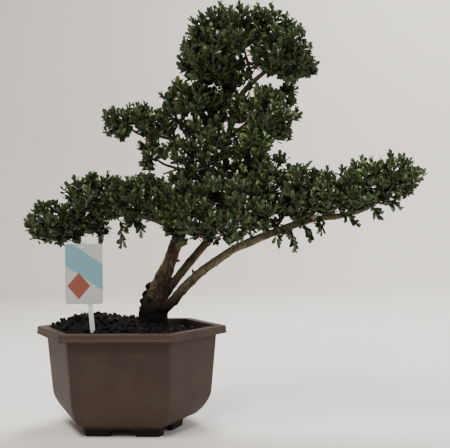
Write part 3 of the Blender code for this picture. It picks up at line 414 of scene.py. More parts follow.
@dataclass(frozen=True)
class MouldedPlastic(Finish):
    """Injection-moulded polypropylene: a satin skin with a fine etched grain, and painted shade that darkens
    its foot.
    """

    title: str = "moulded_polypropylene"
    base: str = "362a25"
    worn: str = "40352f"
    grain_mm: float = 0.9       # coarser than the real etching, so that it shows
    cloud_mm: float = 45.0
    roughness: float = 0.52
    gloss_spread: tuple[float, float] = (-0.02, 0.14)   # round the roughness, as the clouds run
    # colour of the painted shade at the pot's foot
    foot_painted_shade: str = "110c0a"
    painted_shade_heights: tuple[float, float] = (0.0165, 0.0115)   # where the painted shade starts and where it is full

    def dress(self, tree: bpy.types.NodeTree, shader: bpy.types.Node) -> None:
        """Colour clouds, painted shade that darkens the foot, and a fine etched bump."""
        place = add_node(tree, "ShaderNodeTexCoord").outputs["Object"]
        cloud = add_node(tree, "ShaderNodeTexNoise", {
            "Vector": place, "Scale": pattern_scale(self.cloud_mm), "Detail": 5.0, "Roughness": 0.6})
        colour = add_node(tree, "ShaderNodeValToRGB", {"Fac": cloud.outputs["Fac"]},
                          stops=((0.30, self.base), (0.72, self.worn)))
        height = add_node(tree, "ShaderNodeSeparateXYZ", {"Vector": place}).outputs["Z"]
        # painted shade: the colour darkens to near-black brown towards the floor, standing in for the
        # contact shadow under the foot
        shade_starts, shade_full = self.painted_shade_heights
        foot_shade = add_node(tree, "ShaderNodeMapRange", {
            "Value": height, "From Min": shade_starts, "From Max": shade_full, "To Min": 0.0, "To Max": 1.0})
        shaded_foot = add_node(tree, "ShaderNodeMix", {
            0: foot_shade.outputs["Result"], 6: colour.outputs["Color"], 7: linear(self.foot_painted_shade)},
            data_type='RGBA')
        glossier, duller = self.gloss_spread
        gloss = add_node(tree, "ShaderNodeMapRange", {
            "Value": cloud.outputs["Fac"], "To Min": self.roughness + glossier,
            "To Max": self.roughness + duller})
        grain = add_node(tree, "ShaderNodeTexNoise", {
            "Vector": place, "Scale": pattern_scale(self.grain_mm), "Detail": 2.0})
        bump = add_node(tree, "ShaderNodeBump", {
            "Height": grain.outputs["Fac"], "Strength": 0.12, "Distance": 0.0002})
        tree.links.new(shaded_foot.outputs[2], shader.inputs["Base Color"])
        tree.links.new(gloss.outputs["Result"], shader.inputs["Roughness"])
        tree.links.new(bump.outputs["Normal"], shader.inputs["Normal"])
        shader.inputs["IOR"].default_value = 1.49
        shader.inputs["Specular IOR Level"].default_value = 0.18


@dataclass(frozen=True)
class Bark(Finish):
    """Holly bark: grey-brown and finely fissured along the limb, olive where it is young."""

    title: str = "holly_bark"
    dark: str = "1a1410"
    middle: str = "453a2c"
    pale: str = "74674f"
    olive: str = "6b644f"
    fissure_mm: float = 2.6
    blotch_mm: float = 16.0
    # darkest colour, laid on the trunk's foot and on the burrs
    wet: str = "080504"
    crack_levels: tuple[float, float] = (0.40, 0.56)    # of the fissure pattern: open crack, and sound skin
    foot_darkening_heights: tuple[float, float] = (0.196, 0.270)  # fully darkened below the first height, not at all above the second

    def dress(self, tree: bpy.types.NodeTree, shader: bpy.types.Node) -> None:
        """Blotches and fissures in the bark's own straightened coordinates, and darkening towards the
        trunk's foot.
        """
        place = add_node(tree, "ShaderNodeTexCoord").outputs["Object"]
        grain = add_node(tree, "ShaderNodeAttribute", attribute_name="grain").outputs["Vector"]
        young = add_node(tree, "ShaderNodeAttribute", attribute_name="young").outputs["Fac"]
        scarred = add_node(tree, "ShaderNodeAttribute", attribute_name="scarred").outputs["Fac"]
        blotch = add_node(tree, "ShaderNodeTexNoise", {
            "Vector": grain, "Scale": pattern_scale(self.blotch_mm), "Detail": 6.0, "Roughness": 0.62})
        fissure = add_node(tree, "ShaderNodeTexNoise", {
            "Vector": grain, "Scale": pattern_scale(self.fissure_mm), "Detail": 4.0, "Roughness": 0.7})
        colour = add_node(tree, "ShaderNodeValToRGB", {"Fac": blotch.outputs["Fac"]},
                          stops=((0.32, self.dark), (0.50, self.middle), (0.64, self.pale)))
        skin = add_node(tree, "ShaderNodeMix", {
            0: young, 6: colour.outputs["Color"], 7: linear(self.olive)}, data_type='RGBA')
        cracked, sound = self.crack_levels
        crack = add_node(tree, "ShaderNodeMapRange", {
            "Value": fissure.outputs["Fac"], "From Min": cracked, "From Max": sound, "To Min": 0.20,
            "To Max": 1.0})
        lined = add_node(tree, "ShaderNodeMix", {
            0: crack.outputs["Result"], 6: linear(self.dark), 7: skin.outputs[2]}, data_type='RGBA')
        # darker towards the foot of the trunk: fully below the lower height, fading out above it
        height = add_node(tree, "ShaderNodeSeparateXYZ", {"Vector": place}).outputs["Z"]
        full_dark, no_dark = self.foot_darkening_heights
        damp = add_node(tree, "ShaderNodeMapRange", {
            "Value": height, "From Min": full_dark, "From Max": no_dark, "To Min": 1.0, "To Max": 0.0})
        darkened = add_node(tree, "ShaderNodeMath", {
            0: damp.outputs["Result"], 1: scarred}, operation='MAXIMUM')
        foot = add_node(tree, "ShaderNodeMix", {
            0: darkened.outputs[0], 6: lined.outputs[2], 7: linear(self.wet)}, data_type='RGBA')
        bump = add_node(tree, "ShaderNodeBump", {
            "Height": fissure.outputs["Fac"], "Strength": 0.75, "Distance": 0.0012})
        tree.links.new(foot.outputs[2], shader.inputs["Base Color"])
        tree.links.new(bump.outputs["Normal"], shader.inputs["Normal"])
        shader.inputs["Roughness"].default_value = 0.9
        shader.inputs["Specular IOR Level"].default_value = 0.12


@dataclass(frozen=True)
class TwigSkin(Finish):
    """Thin young shoots: smooth dark brown skin with paler flecks."""

    title: str = "young_shoot_skin"
    dark: str = "241b15"
    pale: str = "54402f"
    fleck_mm: float = 1.8

    def dress(self, tree: bpy.types.NodeTree, shader: bpy.types.Node) -> None:
        """Flecked brown."""
        place = add_node(tree, "ShaderNodeTexCoord").outputs["Object"]
        fleck = add_node(tree, "ShaderNodeTexNoise", {
            "Vector": place, "Scale": pattern_scale(self.fleck_mm), "Detail": 3.0})
        colour = add_node(tree, "ShaderNodeValToRGB", {"Fac": fleck.outputs["Fac"]},
                          stops=((0.35, self.dark), (0.70, self.pale)))
        tree.links.new(colour.outputs["Color"], shader.inputs["Base Color"])
        shader.inputs["Roughness"].default_value = 0.7


@dataclass(frozen=True)
class HollyLeaf(Finish):
    """A small leathery leaf: waxy deep green above with a fine midrib, paler and duller below."""

    title: str = "leathery_leaf"
    # the darkest stop is also painted shade for leaves deep in the pads, the lightest also painted light on
    # upward outer shoots
    old_and_shaded: str = "080d06"
    middle: str = "44532e"
    fresh_and_lit: str = "6b8048"
    below: str = "3c482e"
    rib: str = "5f6e43"
    roughness: float = 0.25
    roughness_below: float = 0.62
    shine: tuple[float, float] = (0.85, 0.22)       # specular level above and below
    rib_edges: tuple[float, float] = (0.015, 0.06)  # of the blade's width: full midrib, and where it ends

    def dress(self, tree: bpy.types.NodeTree, shader: bpy.types.Node) -> None:
        """A tint for each leaf, its midrib and veins, and its pale underside."""
        tint = add_node(tree, "ShaderNodeAttribute", attribute_name="tint").outputs["Fac"]
        under = add_node(tree, "ShaderNodeAttribute", attribute_name="under").outputs["Fac"]
        spot = add_node(tree, "ShaderNodeUVMap", uv_map="leaf").outputs["UV"]
        across = add_node(tree, "ShaderNodeSeparateXYZ", {"Vector": spot}).outputs["X"]
        colour = add_node(tree, "ShaderNodeValToRGB", {"Fac": tint},
                          stops=((0.0, self.old_and_shaded), (0.55, self.middle), (1.0, self.fresh_and_lit)))
        from_rib = add_node(tree, "ShaderNodeMath", {0: across, 1: 0.5}, operation='SUBTRACT')
        rib_gap = add_node(tree, "ShaderNodeMath", {0: from_rib.outputs[0]}, operation='ABSOLUTE')
        rib_full, rib_ends = self.rib_edges
        rib = add_node(tree, "ShaderNodeMapRange", {
            "Value": rib_gap.outputs[0], "From Min": rib_full, "From Max": rib_ends, "To Min": 0.55,
            "To Max": 0.0})
        ribbed = add_node(tree, "ShaderNodeMix", {
            0: rib.outputs["Result"], 6: colour.outputs["Color"], 7: linear(self.rib)}, data_type='RGBA')
        sided = add_node(tree, "ShaderNodeMix", {0: under, 6: ribbed.outputs[2], 7: linear(self.below)},
                         data_type='RGBA')
        vein = add_node(tree, "ShaderNodeTexWave", {
            "Vector": spot, "Scale": 3.2, "Distortion": 1.2}, bands_direction='Y')
        groove = add_node(tree, "ShaderNodeMath", {0: vein.outputs["Fac"], 1: rib_gap.outputs[0]},
                          operation='MULTIPLY')
        bump = add_node(tree, "ShaderNodeBump", {
            "Height": groove.outputs[0], "Strength": 0.25, "Distance": 0.0004})
        gloss = add_node(tree, "ShaderNodeMapRange", {
            "Value": under, "To Min": self.roughness, "To Max": self.roughness_below})
        waxy, dull = self.shine
        shine = add_node(tree, "ShaderNodeMapRange", {"Value": under, "To Min": waxy, "To Max": dull})
        tree.links.new(shine.outputs["Result"], shader.inputs["Specular IOR Level"])
        tree.links.new(sided.outputs[2], shader.inputs["Base Color"])
        tree.links.new(gloss.outputs["Result"], shader.inputs["Roughness"])
        tree.links.new(bump.outputs["Normal"], shader.inputs["Normal"])
        shader.inputs["IOR"].default_value = 1.46


@dataclass(frozen=True)
class PottingSoil(Finish):
    """Damp peat and bark compost: near black, crumbly, with paler fibres and chips."""

    title: str = "peat_compost"
    wet: str = "030202"
    damp: str = "0c0906"
    chip: str = "3c2b1e"
    crumb_mm: float = 3.2

    def dress(self, tree: bpy.types.NodeTree, shader: bpy.types.Node) -> None:
        """A tint for each crumb over a crumbly ground."""
        place = add_node(tree, "ShaderNodeTexCoord").outputs["Object"]
        tint = add_node(tree, "ShaderNodeAttribute", attribute_name="tint").outputs["Fac"]
        crumb = add_node(tree, "ShaderNodeTexNoise", {
            "Vector": place, "Scale": pattern_scale(self.crumb_mm), "Detail": 7.0, "Roughness": 0.7})
        ground = add_node(tree, "ShaderNodeValToRGB", {"Fac": crumb.outputs["Fac"]},
                          stops=((0.38, self.wet), (0.68, self.damp)))
        chips = add_node(tree, "ShaderNodeMapRange", {"Value": tint, "From Min": 0.86, "From Max": 1.0})
        colour = add_node(tree, "ShaderNodeMix", {
            0: chips.outputs["Result"], 6: ground.outputs["Color"], 7: linear(self.chip)}, data_type='RGBA')
        bump = add_node(tree, "ShaderNodeBump", {
            "Height": crumb.outputs["Fac"], "Strength": 0.9, "Distance": 0.0015})
        tree.links.new(colour.outputs[2], shader.inputs["Base Color"])
        tree.links.new(bump.outputs["Normal"], shader.inputs["Normal"])
        shader.inputs["Roughness"].default_value = 0.93
        shader.inputs["Specular IOR Level"].default_value = 0.18


@dataclass(frozen=True)
class PrintedCard(Finish):
    """Printed polystyrene card: pale ground, a slanting blue-grey band and a terracotta diamond."""

    low: Vector
    high: Vector
    title: str = "printed_polystyrene_card"
    ground: str = "9d9e9b"
    band: str = "5f8690"
    diamond: str = "74392a"
    band_slope: float = 0.42    # how far the band drops across the card, of its height
    band_place: float = 0.86
    band_half: float = 0.22
    diamond_place: tuple[float, float] = (0.36, 0.30)   # of the card's width and height
    diamond_squash: float = 1.4
    diamond_half: float = 0.31

    def dress(self, tree: bpy.types.NodeTree, shader: bpy.types.Node) -> None:
        """Two plain shapes on the front, placed by the card's own width and height; the back is plain."""
        size = self.high - self.low
        place = add_node(tree, "ShaderNodeTexCoord").outputs["Object"]
        card = add_node(tree, "ShaderNodeMapping", {
            "Vector": place, "Location": -self.low}, vector_type='POINT')
        parts = add_node(tree, "ShaderNodeSeparateXYZ", {"Vector": card.outputs["Vector"]})
        across = add_node(tree, "ShaderNodeMath", {
            0: parts.outputs["X"], 1: 1 / size.x}, operation='MULTIPLY')
        along = add_node(tree, "ShaderNodeMath", {
            0: parts.outputs["Z"], 1: 1 / size.z}, operation='MULTIPLY')
        slant = add_node(tree, "ShaderNodeMath", {
            0: across.outputs[0], 1: self.band_slope, 2: along.outputs[0]}, operation='MULTIPLY_ADD')
        band_gap = add_node(tree, "ShaderNodeMath", {
            0: slant.outputs[0], 1: self.band_place}, operation='SUBTRACT')
        band_reach = add_node(tree, "ShaderNodeMath", {0: band_gap.outputs[0]}, operation='ABSOLUTE')
        band = add_node(tree, "ShaderNodeMath", {
            0: band_reach.outputs[0], 1: self.band_half}, operation='LESS_THAN')
        side = add_node(tree, "ShaderNodeMath", {
            0: across.outputs[0], 1: self.diamond_place[0]}, operation='SUBTRACT')
        rise = add_node(tree, "ShaderNodeMath", {
            0: along.outputs[0], 1: self.diamond_place[1]}, operation='SUBTRACT')
        side_reach = add_node(tree, "ShaderNodeMath", {0: side.outputs[0]}, operation='ABSOLUTE')
        rise_reach = add_node(tree, "ShaderNodeMath", {0: rise.outputs[0]}, operation='ABSOLUTE')
        reach = add_node(tree, "ShaderNodeMath", {
            0: rise_reach.outputs[0], 1: self.diamond_squash, 2: side_reach.outputs[0]},
            operation='MULTIPLY_ADD')
        diamond = add_node(tree, "ShaderNodeMath", {
            0: reach.outputs[0], 1: self.diamond_half}, operation='LESS_THAN')
        banded = add_node(tree, "ShaderNodeMix", {
            0: band.outputs[0], 6: linear(self.ground), 7: linear(self.band)}, data_type='RGBA')
        printed = add_node(tree, "ShaderNodeMix", {
            0: diamond.outputs[0], 6: banded.outputs[2], 7: linear(self.diamond)}, data_type='RGBA')
        normal = add_node(tree, "ShaderNodeTexCoord").outputs["Normal"]
        way = add_node(tree, "ShaderNodeSeparateXYZ", {"Vector": normal})
        front = add_node(tree, "ShaderNodeMath", {0: way.outputs["Y"], 1: -0.5}, operation='LESS_THAN')
        card_face = add_node(tree, "ShaderNodeMix", {
            0: front.outputs[0], 6: linear(self.ground), 7: printed.outputs[2]}, data_type='RGBA')
        tree.links.new(card_face.outputs[2], shader.inputs["Base Color"])
        shader.inputs["Roughness"].default_value = 0.32
        shader.inputs["IOR"].default_value = 1.55


@dataclass(frozen=True)
class ClearPlastic(Finish):
    """Frosted polypropylene strip: milky, with a little light passing through."""

    title: str = "frosted_polypropylene"
    body: str = "c3c6c9"
    streak: str = "dde0e2"
    streak_mm: float = 3.0

    def dress(self, tree: bpy.types.NodeTree, shader: bpy.types.Node) -> None:
        """Milky plastic with faint moulding streaks."""
        place = add_node(tree, "ShaderNodeTexCoord").outputs["Object"]
        streaks = add_node(tree, "ShaderNodeTexNoise", {
            "Vector": place, "Scale": pattern_scale(self.streak_mm), "Detail": 2.0})
        colour = add_node(tree, "ShaderNodeValToRGB", {"Fac": streaks.outputs["Fac"]},
                          stops=((0.30, self.body), (0.75, self.streak)))
        tree.links.new(colour.outputs["Color"], shader.inputs["Base Color"])
        shader.inputs["Roughness"].default_value = 0.34
        shader.inputs["Transmission Weight"].default_value = 0.22
        shader.inputs["IOR"].default_value = 1.49


@dataclass(frozen=True)
class StudioPaper(Finish):
    """Matte background paper, pale warm grey."""

    title: str = "background_paper"
    tone: str = "cfcbc6"
    tooth_mm: float = 2.5       # coarser than real paper's, so that it shows

    def dress(self, tree: bpy.types.NodeTree, shader: bpy.types.Node) -> None:
        """Plain matte paper with a barely visible tooth."""
        place = add_node(tree, "ShaderNodeTexCoord").outputs["Object"]
        tooth = add_node(tree, "ShaderNodeTexNoise", {
            "Vector": place, "Scale": pattern_scale(self.tooth_mm)})
        bump = add_node(tree, "ShaderNodeBump", {"Height": tooth.outputs["Fac"], "Strength": 0.05})
        tree.links.new(bump.outputs["Normal"], shader.inputs["Normal"])
        shader.inputs["Base Color"].default_value = linear(self.tone)
        shader.inputs["Roughness"].default_value = 0.9


@dataclass(frozen=True)
class Site:
    """Where the pot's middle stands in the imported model's frame."""

    centre: Vector

    @classmethod
    def from_frame(cls) -> "Site":
        """Read the pot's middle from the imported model."""
        low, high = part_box("pot")
        return cls(Vector(((low.x + high.x) / 2, (low.y + high.y) / 2, low.z)))

    def finish(
        self,
        name: str,
        bm: bmesh.types.BMesh,
        finishes: Sequence[Finish],
        slot: Slot,
        nodes: Sequence[str],
    ) -> bpy.types.Object:
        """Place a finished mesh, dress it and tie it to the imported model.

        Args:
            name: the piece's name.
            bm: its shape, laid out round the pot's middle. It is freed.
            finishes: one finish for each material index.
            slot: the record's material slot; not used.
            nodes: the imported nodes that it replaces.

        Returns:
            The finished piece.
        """
        bmesh.ops.translate(bm, vec=self.centre, verts=bm.verts)
        mesh = bpy.data.meshes.new(name)
        bm.to_mesh(mesh)
        bm.free()
        for finish in finishes:
            mesh.materials.append(finish.material())
        piece = bpy.data.objects.new(name, mesh)
        bpy.context.scene.collection.objects.link(piece)
        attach(piece, BODY)
        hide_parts(*nodes)
        LOG.info("%s: %d faces", name, len(mesh.polygons))
        return piece


def smooth_route(points: Limb, steps: int) -> list[Vector]:
    """Run a smooth curve through a limb's points.

    Args:
        points: the limb's points x, y, z and radius.
        steps: points made for each span.

    Returns:
        Points of four values: x, y, z and radius.
    """
    knots = [Vector(point) for point in points]
    knots = [2 * knots[0] - knots[1], *knots, 2 * knots[-1] - knots[-2]]
    route = []
    for a, b, c, d in zip(knots, knots[1:], knots[2:], knots[3:]):
        for k in range(steps):
            t = k / steps
            route.append(0.5 * (2 * b + (c - a) * t + (2 * a - 5 * b + 4 * c - d) * t * t
                                + (3 * b - a - 3 * c + d) * t ** 3))
    route.append(knots[-2])
    return route


def frames_along(route: Sequence[Vector]) -> Iterator[Matrix]:
    """Carry a frame along a route without twisting it.

    Args:
        route: points of four values.

    Yields:
        A matrix that puts a unit ring round each point, scaled to its radius.
    """
    ahead = (route[1].xyz - route[0].xyz).normalized()
    turn = ahead.to_track_quat('Z', 'Y')
    for k, point in enumerate(route):
        before, after = route[max(k - 1, 0)], route[min(k + 1, len(route) - 1)]
        heading = (after.xyz - before.xyz).normalized()
        turn = ahead.rotation_difference(heading) @ turn
        ahead = heading
        yield Matrix.LocRotScale(point.xyz, turn, Vector((point.w, point.w, point.w)))


def extrude_ring(
    bm: bmesh.types.BMesh,
    edges: Sequence[bmesh.types.BMEdge],
) -> tuple[list[bmesh.types.BMVert], list[bmesh.types.BMEdge]]:
    """Extrude a ring of edges where it stands.

    Args:
        bm: the shape.
        edges: the ring.

    Returns:
        The new ring's corners and edges.
    """
    step = bmesh.ops.extrude_edge_only(bm, edges=edges)["geom"]
    corners = [item for item in step if isinstance(item, bmesh.types.BMVert)]
    return corners, [item for item in step if isinstance(item, bmesh.types.BMEdge)]


def add_tube(bm: bmesh.types.BMesh, route: Sequence[Vector], sides: int) -> None:
    """Sweep a ring along a route and close its ends.

    Args:
        bm: the shape to add to.
        route: points of four values.
        sides: corners of the ring.
    """
    places = list(frames_along(route))
    ring = bmesh.ops.create_circle(bm, segments=sides, radius=1.0, matrix=places[0])["verts"]
    edges = list({edge for vert in ring for edge in vert.link_edges})
    bmesh.ops.contextual_create(bm, geom=edges)
    for place, after in zip(places, places[1:]):
        ring, edges = extrude_ring(bm, edges)
        bmesh.ops.transform(bm, matrix=after @ place.inverted(), verts=ring)
    bmesh.ops.contextual_create(bm, geom=edges)


def rounded_profile(
    corners: Sequence[Triple],
    segments: int,
    room: float = 0.48,
) -> list[tuple[float, float]]:
    """Round the corners of a section.

    Args:
        corners: two coordinates and the rounding radius of each corner.
        segments: steps in each rounded corner.
        room: the most that a rounding takes of the edges beside it.

    Returns:
        The section's points.
    """
    points = [Vector((corners[0][0], corners[0][1]))]
    for before, corner, after in zip(corners, corners[1:], corners[2:]):
        here = Vector(corner[:2])
        back, ahead = Vector(before[:2]) - here, Vector(after[:2]) - here
        half = back.angle(ahead) / 2
        reach = min(corner[2] / math.tan(half), back.length * room, ahead.length * room)
        start, end = here + back.normalized() * reach, here + ahead.normalized() * reach
        for k in range(segments + 1):
            t = k / segments
            points.append(start * (1 - t) ** 2 + here * 2 * t * (1 - t) + end * t * t)
    points.append(Vector((corners[-1][0], corners[-1][1])))
    return [(point.x, point.y) for point in points]


def baked(obj: bpy.types.Object) -> bmesh.types.BMesh:
    """Take an object's shape with its modifiers, and remove the object.

    Args:
        obj: a helper object.

    Returns:
        Its finished shape.
    """
    graph = bpy.context.evaluated_depsgraph_get()
    bm = bmesh.new()
    bm.from_object(obj, graph)
    bpy.data.objects.remove(obj, do_unlink=True)
    return bm


def helper(name: str, bm: bmesh.types.BMesh) -> bpy.types.Object:
    """Hold a shape in a helper object.

    Args:
        name: the helper's name.
        bm: its shape. It is freed.

    Returns:
        The helper.
    """
    mesh = bpy.data.meshes.new(name)
    bm.to_mesh(mesh)
    bm.free()
    obj = bpy.data.objects.new(name, mesh)
    bpy.context.scene.collection.objects.link(obj)
    return obj


def cut_away(bm: bmesh.types.BMesh, cutters: Sequence[bmesh.types.BMesh]) -> bmesh.types.BMesh:
    """Cut shapes out of a shape.

    Args:
        bm: the shape. It is freed.
        cutters: the shapes to take away. They are freed.

    Returns:
        What is left.
    """
    body = helper("body", bm)
    tools = bpy.data.collections.new("cutters")
    for k, cutter in enumerate(cutters):
        tool = helper(f"cutter_{k}", cutter)
        bpy.context.scene.collection.objects.unlink(tool)
        tools.objects.link(tool)
    cut = body.modifiers.new("cut", 'BOOLEAN')
    cut.operation = 'DIFFERENCE'
    cut.operand_type = 'COLLECTION'
    cut.collection = tools
    cut.solver = 'EXACT'
    left = baked(body)
    for tool in list(tools.objects):
        bpy.data.objects.remove(tool, do_unlink=True)
    bpy.data.collections.remove(tools)
    return left


@dataclass
class SixSidedPlan:
    """The pot's plan: an elongated hexagon with rounded corners."""

    length: float = 0.330
    depth: float = 0.226
    front: float = 0.180
    corner: float = 0.0045
    corner_steps: int = 4
    corner_share: float = 0.28      # of a blunt end, how much of it the four other corners take

    def ring(self, inset: float, blunt: float = 0.0) -> list[Vector]:
        """Points of the plan, moved in from the rim's edge.

        Args:
            inset: how far in.
            blunt: how much further in the two end tips stand.

        Returns:
            Points at height zero, anticlockwise.
        """
        run = (self.length - self.front) / 2
        half_depth = self.depth / 2
        depth = half_depth - inset
        tip = self.length / 2 - inset * math.hypot(run, half_depth) / half_depth
        front = tip - run * depth / half_depth - blunt * self.corner_share
        tip -= blunt
        corners = [Vector((x, y, 0.0)) for x, y in (
            (tip, 0), (front, depth), (-front, depth), (-tip, 0), (-front, -depth), (front, -depth))]
        points = []
        for i, corner in enumerate(corners):
            before, after = corners[i - 1], corners[(i + 1) % 6]
            start = corner + (before - corner).normalized() * self.corner
            end = corner + (after - corner).normalized() * self.corner
            for k in range(self.corner_steps + 1):
                t = k / self.corner_steps
                points.append(start * (1 - t) ** 2 + corner * 2 * t * (1 - t) + end * t * t)
        return points

    def edge(self, y: float, inset: float) -> float:
        """Half the plan's width at a depth y, moved in from the rim's edge by inset."""
        run, half_depth = (self.length - self.front) / 2, self.depth / 2
        return self.length / 2 - inset * math.hypot(run, half_depth) / half_depth - run * abs(y) / half_depth

    def moved_in(self, x: float, y: float, start: float, end: float) -> tuple[float, float]:
        """Move a place on one outline to the next one in.

        Args:
            x: place along the pot.
            y: place across it.
            start: inset of the outline that it is on.
            end: inset of the outline that it goes to.

        Returns:
            The new place.
        """
        half_depth = self.depth / 2
        new_y = y * (half_depth - end) / (half_depth - start)
        return x * self.edge(new_y, end) / self.edge(y, start), new_y


@dataclass
class Pot:
    """The moulded pot: banded rim, flat sides, turned-in belly, notched foot ring and drain holes."""

    plan: SixSidedPlan = field(default_factory=SixSidedPlan)
    height: float = 0.168
    band: float = 0.0125
    bead: float = 0.0010
    rim: float = 0.0042
    foot: float = 0.0130
    foot_inset: float = 0.0410
    foot_width: float = 0.0080
    blunt: float = 0.0290       # the ends turn in this much further than the sides
    blunt_from: float = 0.058   # height where they start to
    blunt_curve: float = 1.7
    drains: tuple[tuple[float, float], ...] = ((-0.055, 0.0), (0.055, 0.0), (0.0, 0.028), (0.0, -0.028))
    drain_radius: float = 0.006
    drain_tool: tuple[float, float] = (0.03, 0.0175)    # length and middle height of the tool that cuts them
    notch_long: float = 0.042
    notch_short: float = 0.026
    notch_shift: float = 0.021  # the short notches stand this far towards the pot's long sides
    notch_height: float = 0.0105
    notch_depth: float = 2.6    # of the cutting tool, in widths of the foot
    notch_round: float = 0.003
    edge_steps: int = 3
    flat_within: float = 35.0   # degrees between faces that shade as one

    def profile(self) -> list[tuple[float, float]]:
        """Inset and height round the wall's section, with every edge rounded as the mould has it."""
        top, under, low = self.height, self.height - self.rim, self.height - self.band
        inner, outer = self.foot_inset + self.foot_width, self.foot_inset
        return rounded_profile((
            (inner + 0.0015, self.foot, 0.0), (inner, 0.0, 0.0012), (outer, 0.0, 0.0012),
            (outer - 0.0020, self.foot, 0.0015), (0.0276, 0.0205, 0.005), (0.0254, 0.0290, 0.004),
            (0.0245, 0.0370, 0.003), (0.0239, 0.0445, 0.003), (0.0232, 0.0520, 0.003),
            (0.0226, 0.0600, 0.003),
            (0.0140, under, 0.0010), (0.0030, under, 0.0010), (0.0030, low, 0.0008), (0.0, low, 0.0010),
            (0.0, low + 0.0034, 0.0010), (self.bead, low + 0.0044, 0.0006), (self.bead, top, 0.0022),
            (0.0165, top, 0.0016), (0.0268, 0.0580, 0.04), (0.0290, 0.0420, 0.02), (0.0325, 0.0290, 0.012),
            (0.0430, 0.0190, 0.008), (0.0560, 0.0175, 0.010), (0.0660, 0.0175, 0.0),
        ), self.edge_steps)

    def ends(self, height: float) -> float:
        """How much further in the ends stand at a height."""
        share = min(1.0, max(0.0, (self.blunt_from - height) / (self.blunt_from - self.foot)))
        return self.blunt * share ** self.blunt_curve

    def shell(self) -> bmesh.types.BMesh:
        """Raise the wall ring by ring, and close it under and over the floor."""
        bm = bmesh.new()
        station = bm.verts.layers.int.new("station")
        levels = self.profile()
        count = len(self.plan.ring(0.0))
        ring = bmesh.ops.create_circle(bm, segments=count, radius=1.0)["verts"]
        for i, vert in enumerate(ring):
            vert[station] = i
        edges = bm.edges[:]
        bmesh.ops.contextual_create(bm, geom=edges)
        for k, (inset, height) in enumerate(levels):
            if k:
                ring, edges = extrude_ring(bm, edges)
            outline = self.plan.ring(inset, self.ends(height))
            for vert in ring:
                vert.co = outline[vert[station]] + UP * height
        bmesh.ops.contextual_create(bm, geom=edges)
        bmesh.ops.recalc_face_normals(bm, faces=bm.faces)
        return bm

    def cutters(self) -> list[bmesh.types.BMesh]:
        """Notches between the feet, and drain holes."""
        shapes = []
        middle = self.foot_inset + self.foot_width / 2
        outline = self.plan.ring(middle, self.blunt)
        end = max(point.x for point in outline)
        front = max(outline, key=lambda point: point.x + point.y)
        facet = math.atan2(end - front.x, front.y)
        angle, far = math.degrees(facet), end * math.cos(facet)
        notches = (
            (-90.0, front.y, self.notch_long, 0.0), (90.0, front.y, self.notch_long, 0.0),
            (angle, far, self.notch_short, self.notch_shift),
            (180 - angle, far, self.notch_short, -self.notch_shift),
            (-angle, far, self.notch_short, -self.notch_shift),
            (180 + angle, far, self.notch_short, self.notch_shift))
        for turn, reach, width, aside in notches:
            bm = bmesh.new()
            bmesh.ops.create_cube(bm, size=1.0)
            size = (self.foot_width * self.notch_depth, width, self.notch_height * 2)
            bmesh.ops.scale(bm, vec=size, verts=bm.verts)
            upper = [edge for edge in bm.edges if all(vert.co.z > 0 for vert in edge.verts)
                     and abs(edge.verts[0].co.y - edge.verts[1].co.y) < WELD]
            bmesh.ops.bevel(bm, geom=upper, offset=self.notch_round, segments=3, profile=0.5,
                            affect='EDGES', material=-1)
            place = Matrix.Rotation(math.radians(turn), 4, 'Z') @ Matrix.Translation((reach, aside, 0))
            bmesh.ops.transform(bm, matrix=place, verts=bm.verts)
            shapes.append(bm)
        length, height = self.drain_tool
        for x, y in self.drains:
            bm = bmesh.new()
            bmesh.ops.create_cone(bm, cap_ends=True, segments=24, radius1=self.drain_radius,
                                  radius2=self.drain_radius, depth=length,
                                  matrix=Matrix.Translation((x, y, height)))
            shapes.append(bm)
        return shapes

    def build(self, site: Site) -> None:
        """Mould the pot and put it in place."""
        bm = cut_away(self.shell(), self.cutters())
        for face in bm.faces:
            face.smooth = True
        pot = site.finish("moulded_pot", bm, (MouldedPlastic(),), Slot.POT, ("pot",))
        pot.data.set_sharp_from_angle(angle=math.radians(self.flat_within))
        even = pot.modifiers.new("flat_faces_stay_flat", 'WEIGHTED_NORMAL')
        even.keep_sharp = True


class Stamp:
    """Presses copies of small closed shapes into one shape."""

    def __init__(self, out: bmesh.types.BMesh) -> None:
        """Start a stamp.

        Args:
            out: the shape that takes the copies.
        """
        self.out = out
        self.tint = out.faces.layers.float.get("tint") or out.faces.layers.float.new("tint")
        self.held: list[bpy.types.Mesh] = []

    def template(self, bm: bmesh.types.BMesh) -> bpy.types.Mesh:
        """Keep a shape to press.

        Args:
            bm: the shape. It is freed.

        Returns:
            The kept shape.
        """
        if not bm.faces.layers.float.get("tint"):
            bm.faces.layers.float.new("tint")
        mesh = bpy.data.meshes.new("template")
        bm.to_mesh(mesh)
        bm.free()
        self.held.append(mesh)
        return mesh

    def press(self, template: bpy.types.Mesh, place: Matrix, tint: float) -> None:
        """Press one copy.

        Args:
            template: a kept shape.
            place: where it goes.
            tint: the colour value of its faces.
        """
        copy = template.copy()
        copy.transform(place)
        copy.attributes["tint"].data.foreach_set("value", [tint] * len(copy.polygons))
        self.out.from_mesh(copy)
        bpy.data.meshes.remove(copy)

    def clear(self) -> None:
        """Let go of the kept shapes."""
        for mesh in self.held:
            bpy.data.meshes.remove(mesh)
        self.held.clear()


class Crumb(Enum):
    """Kinds of loose bits in the soil."""

    LUMP = "lump"
    CHIP = "chip"
    FIBRE = "fibre"


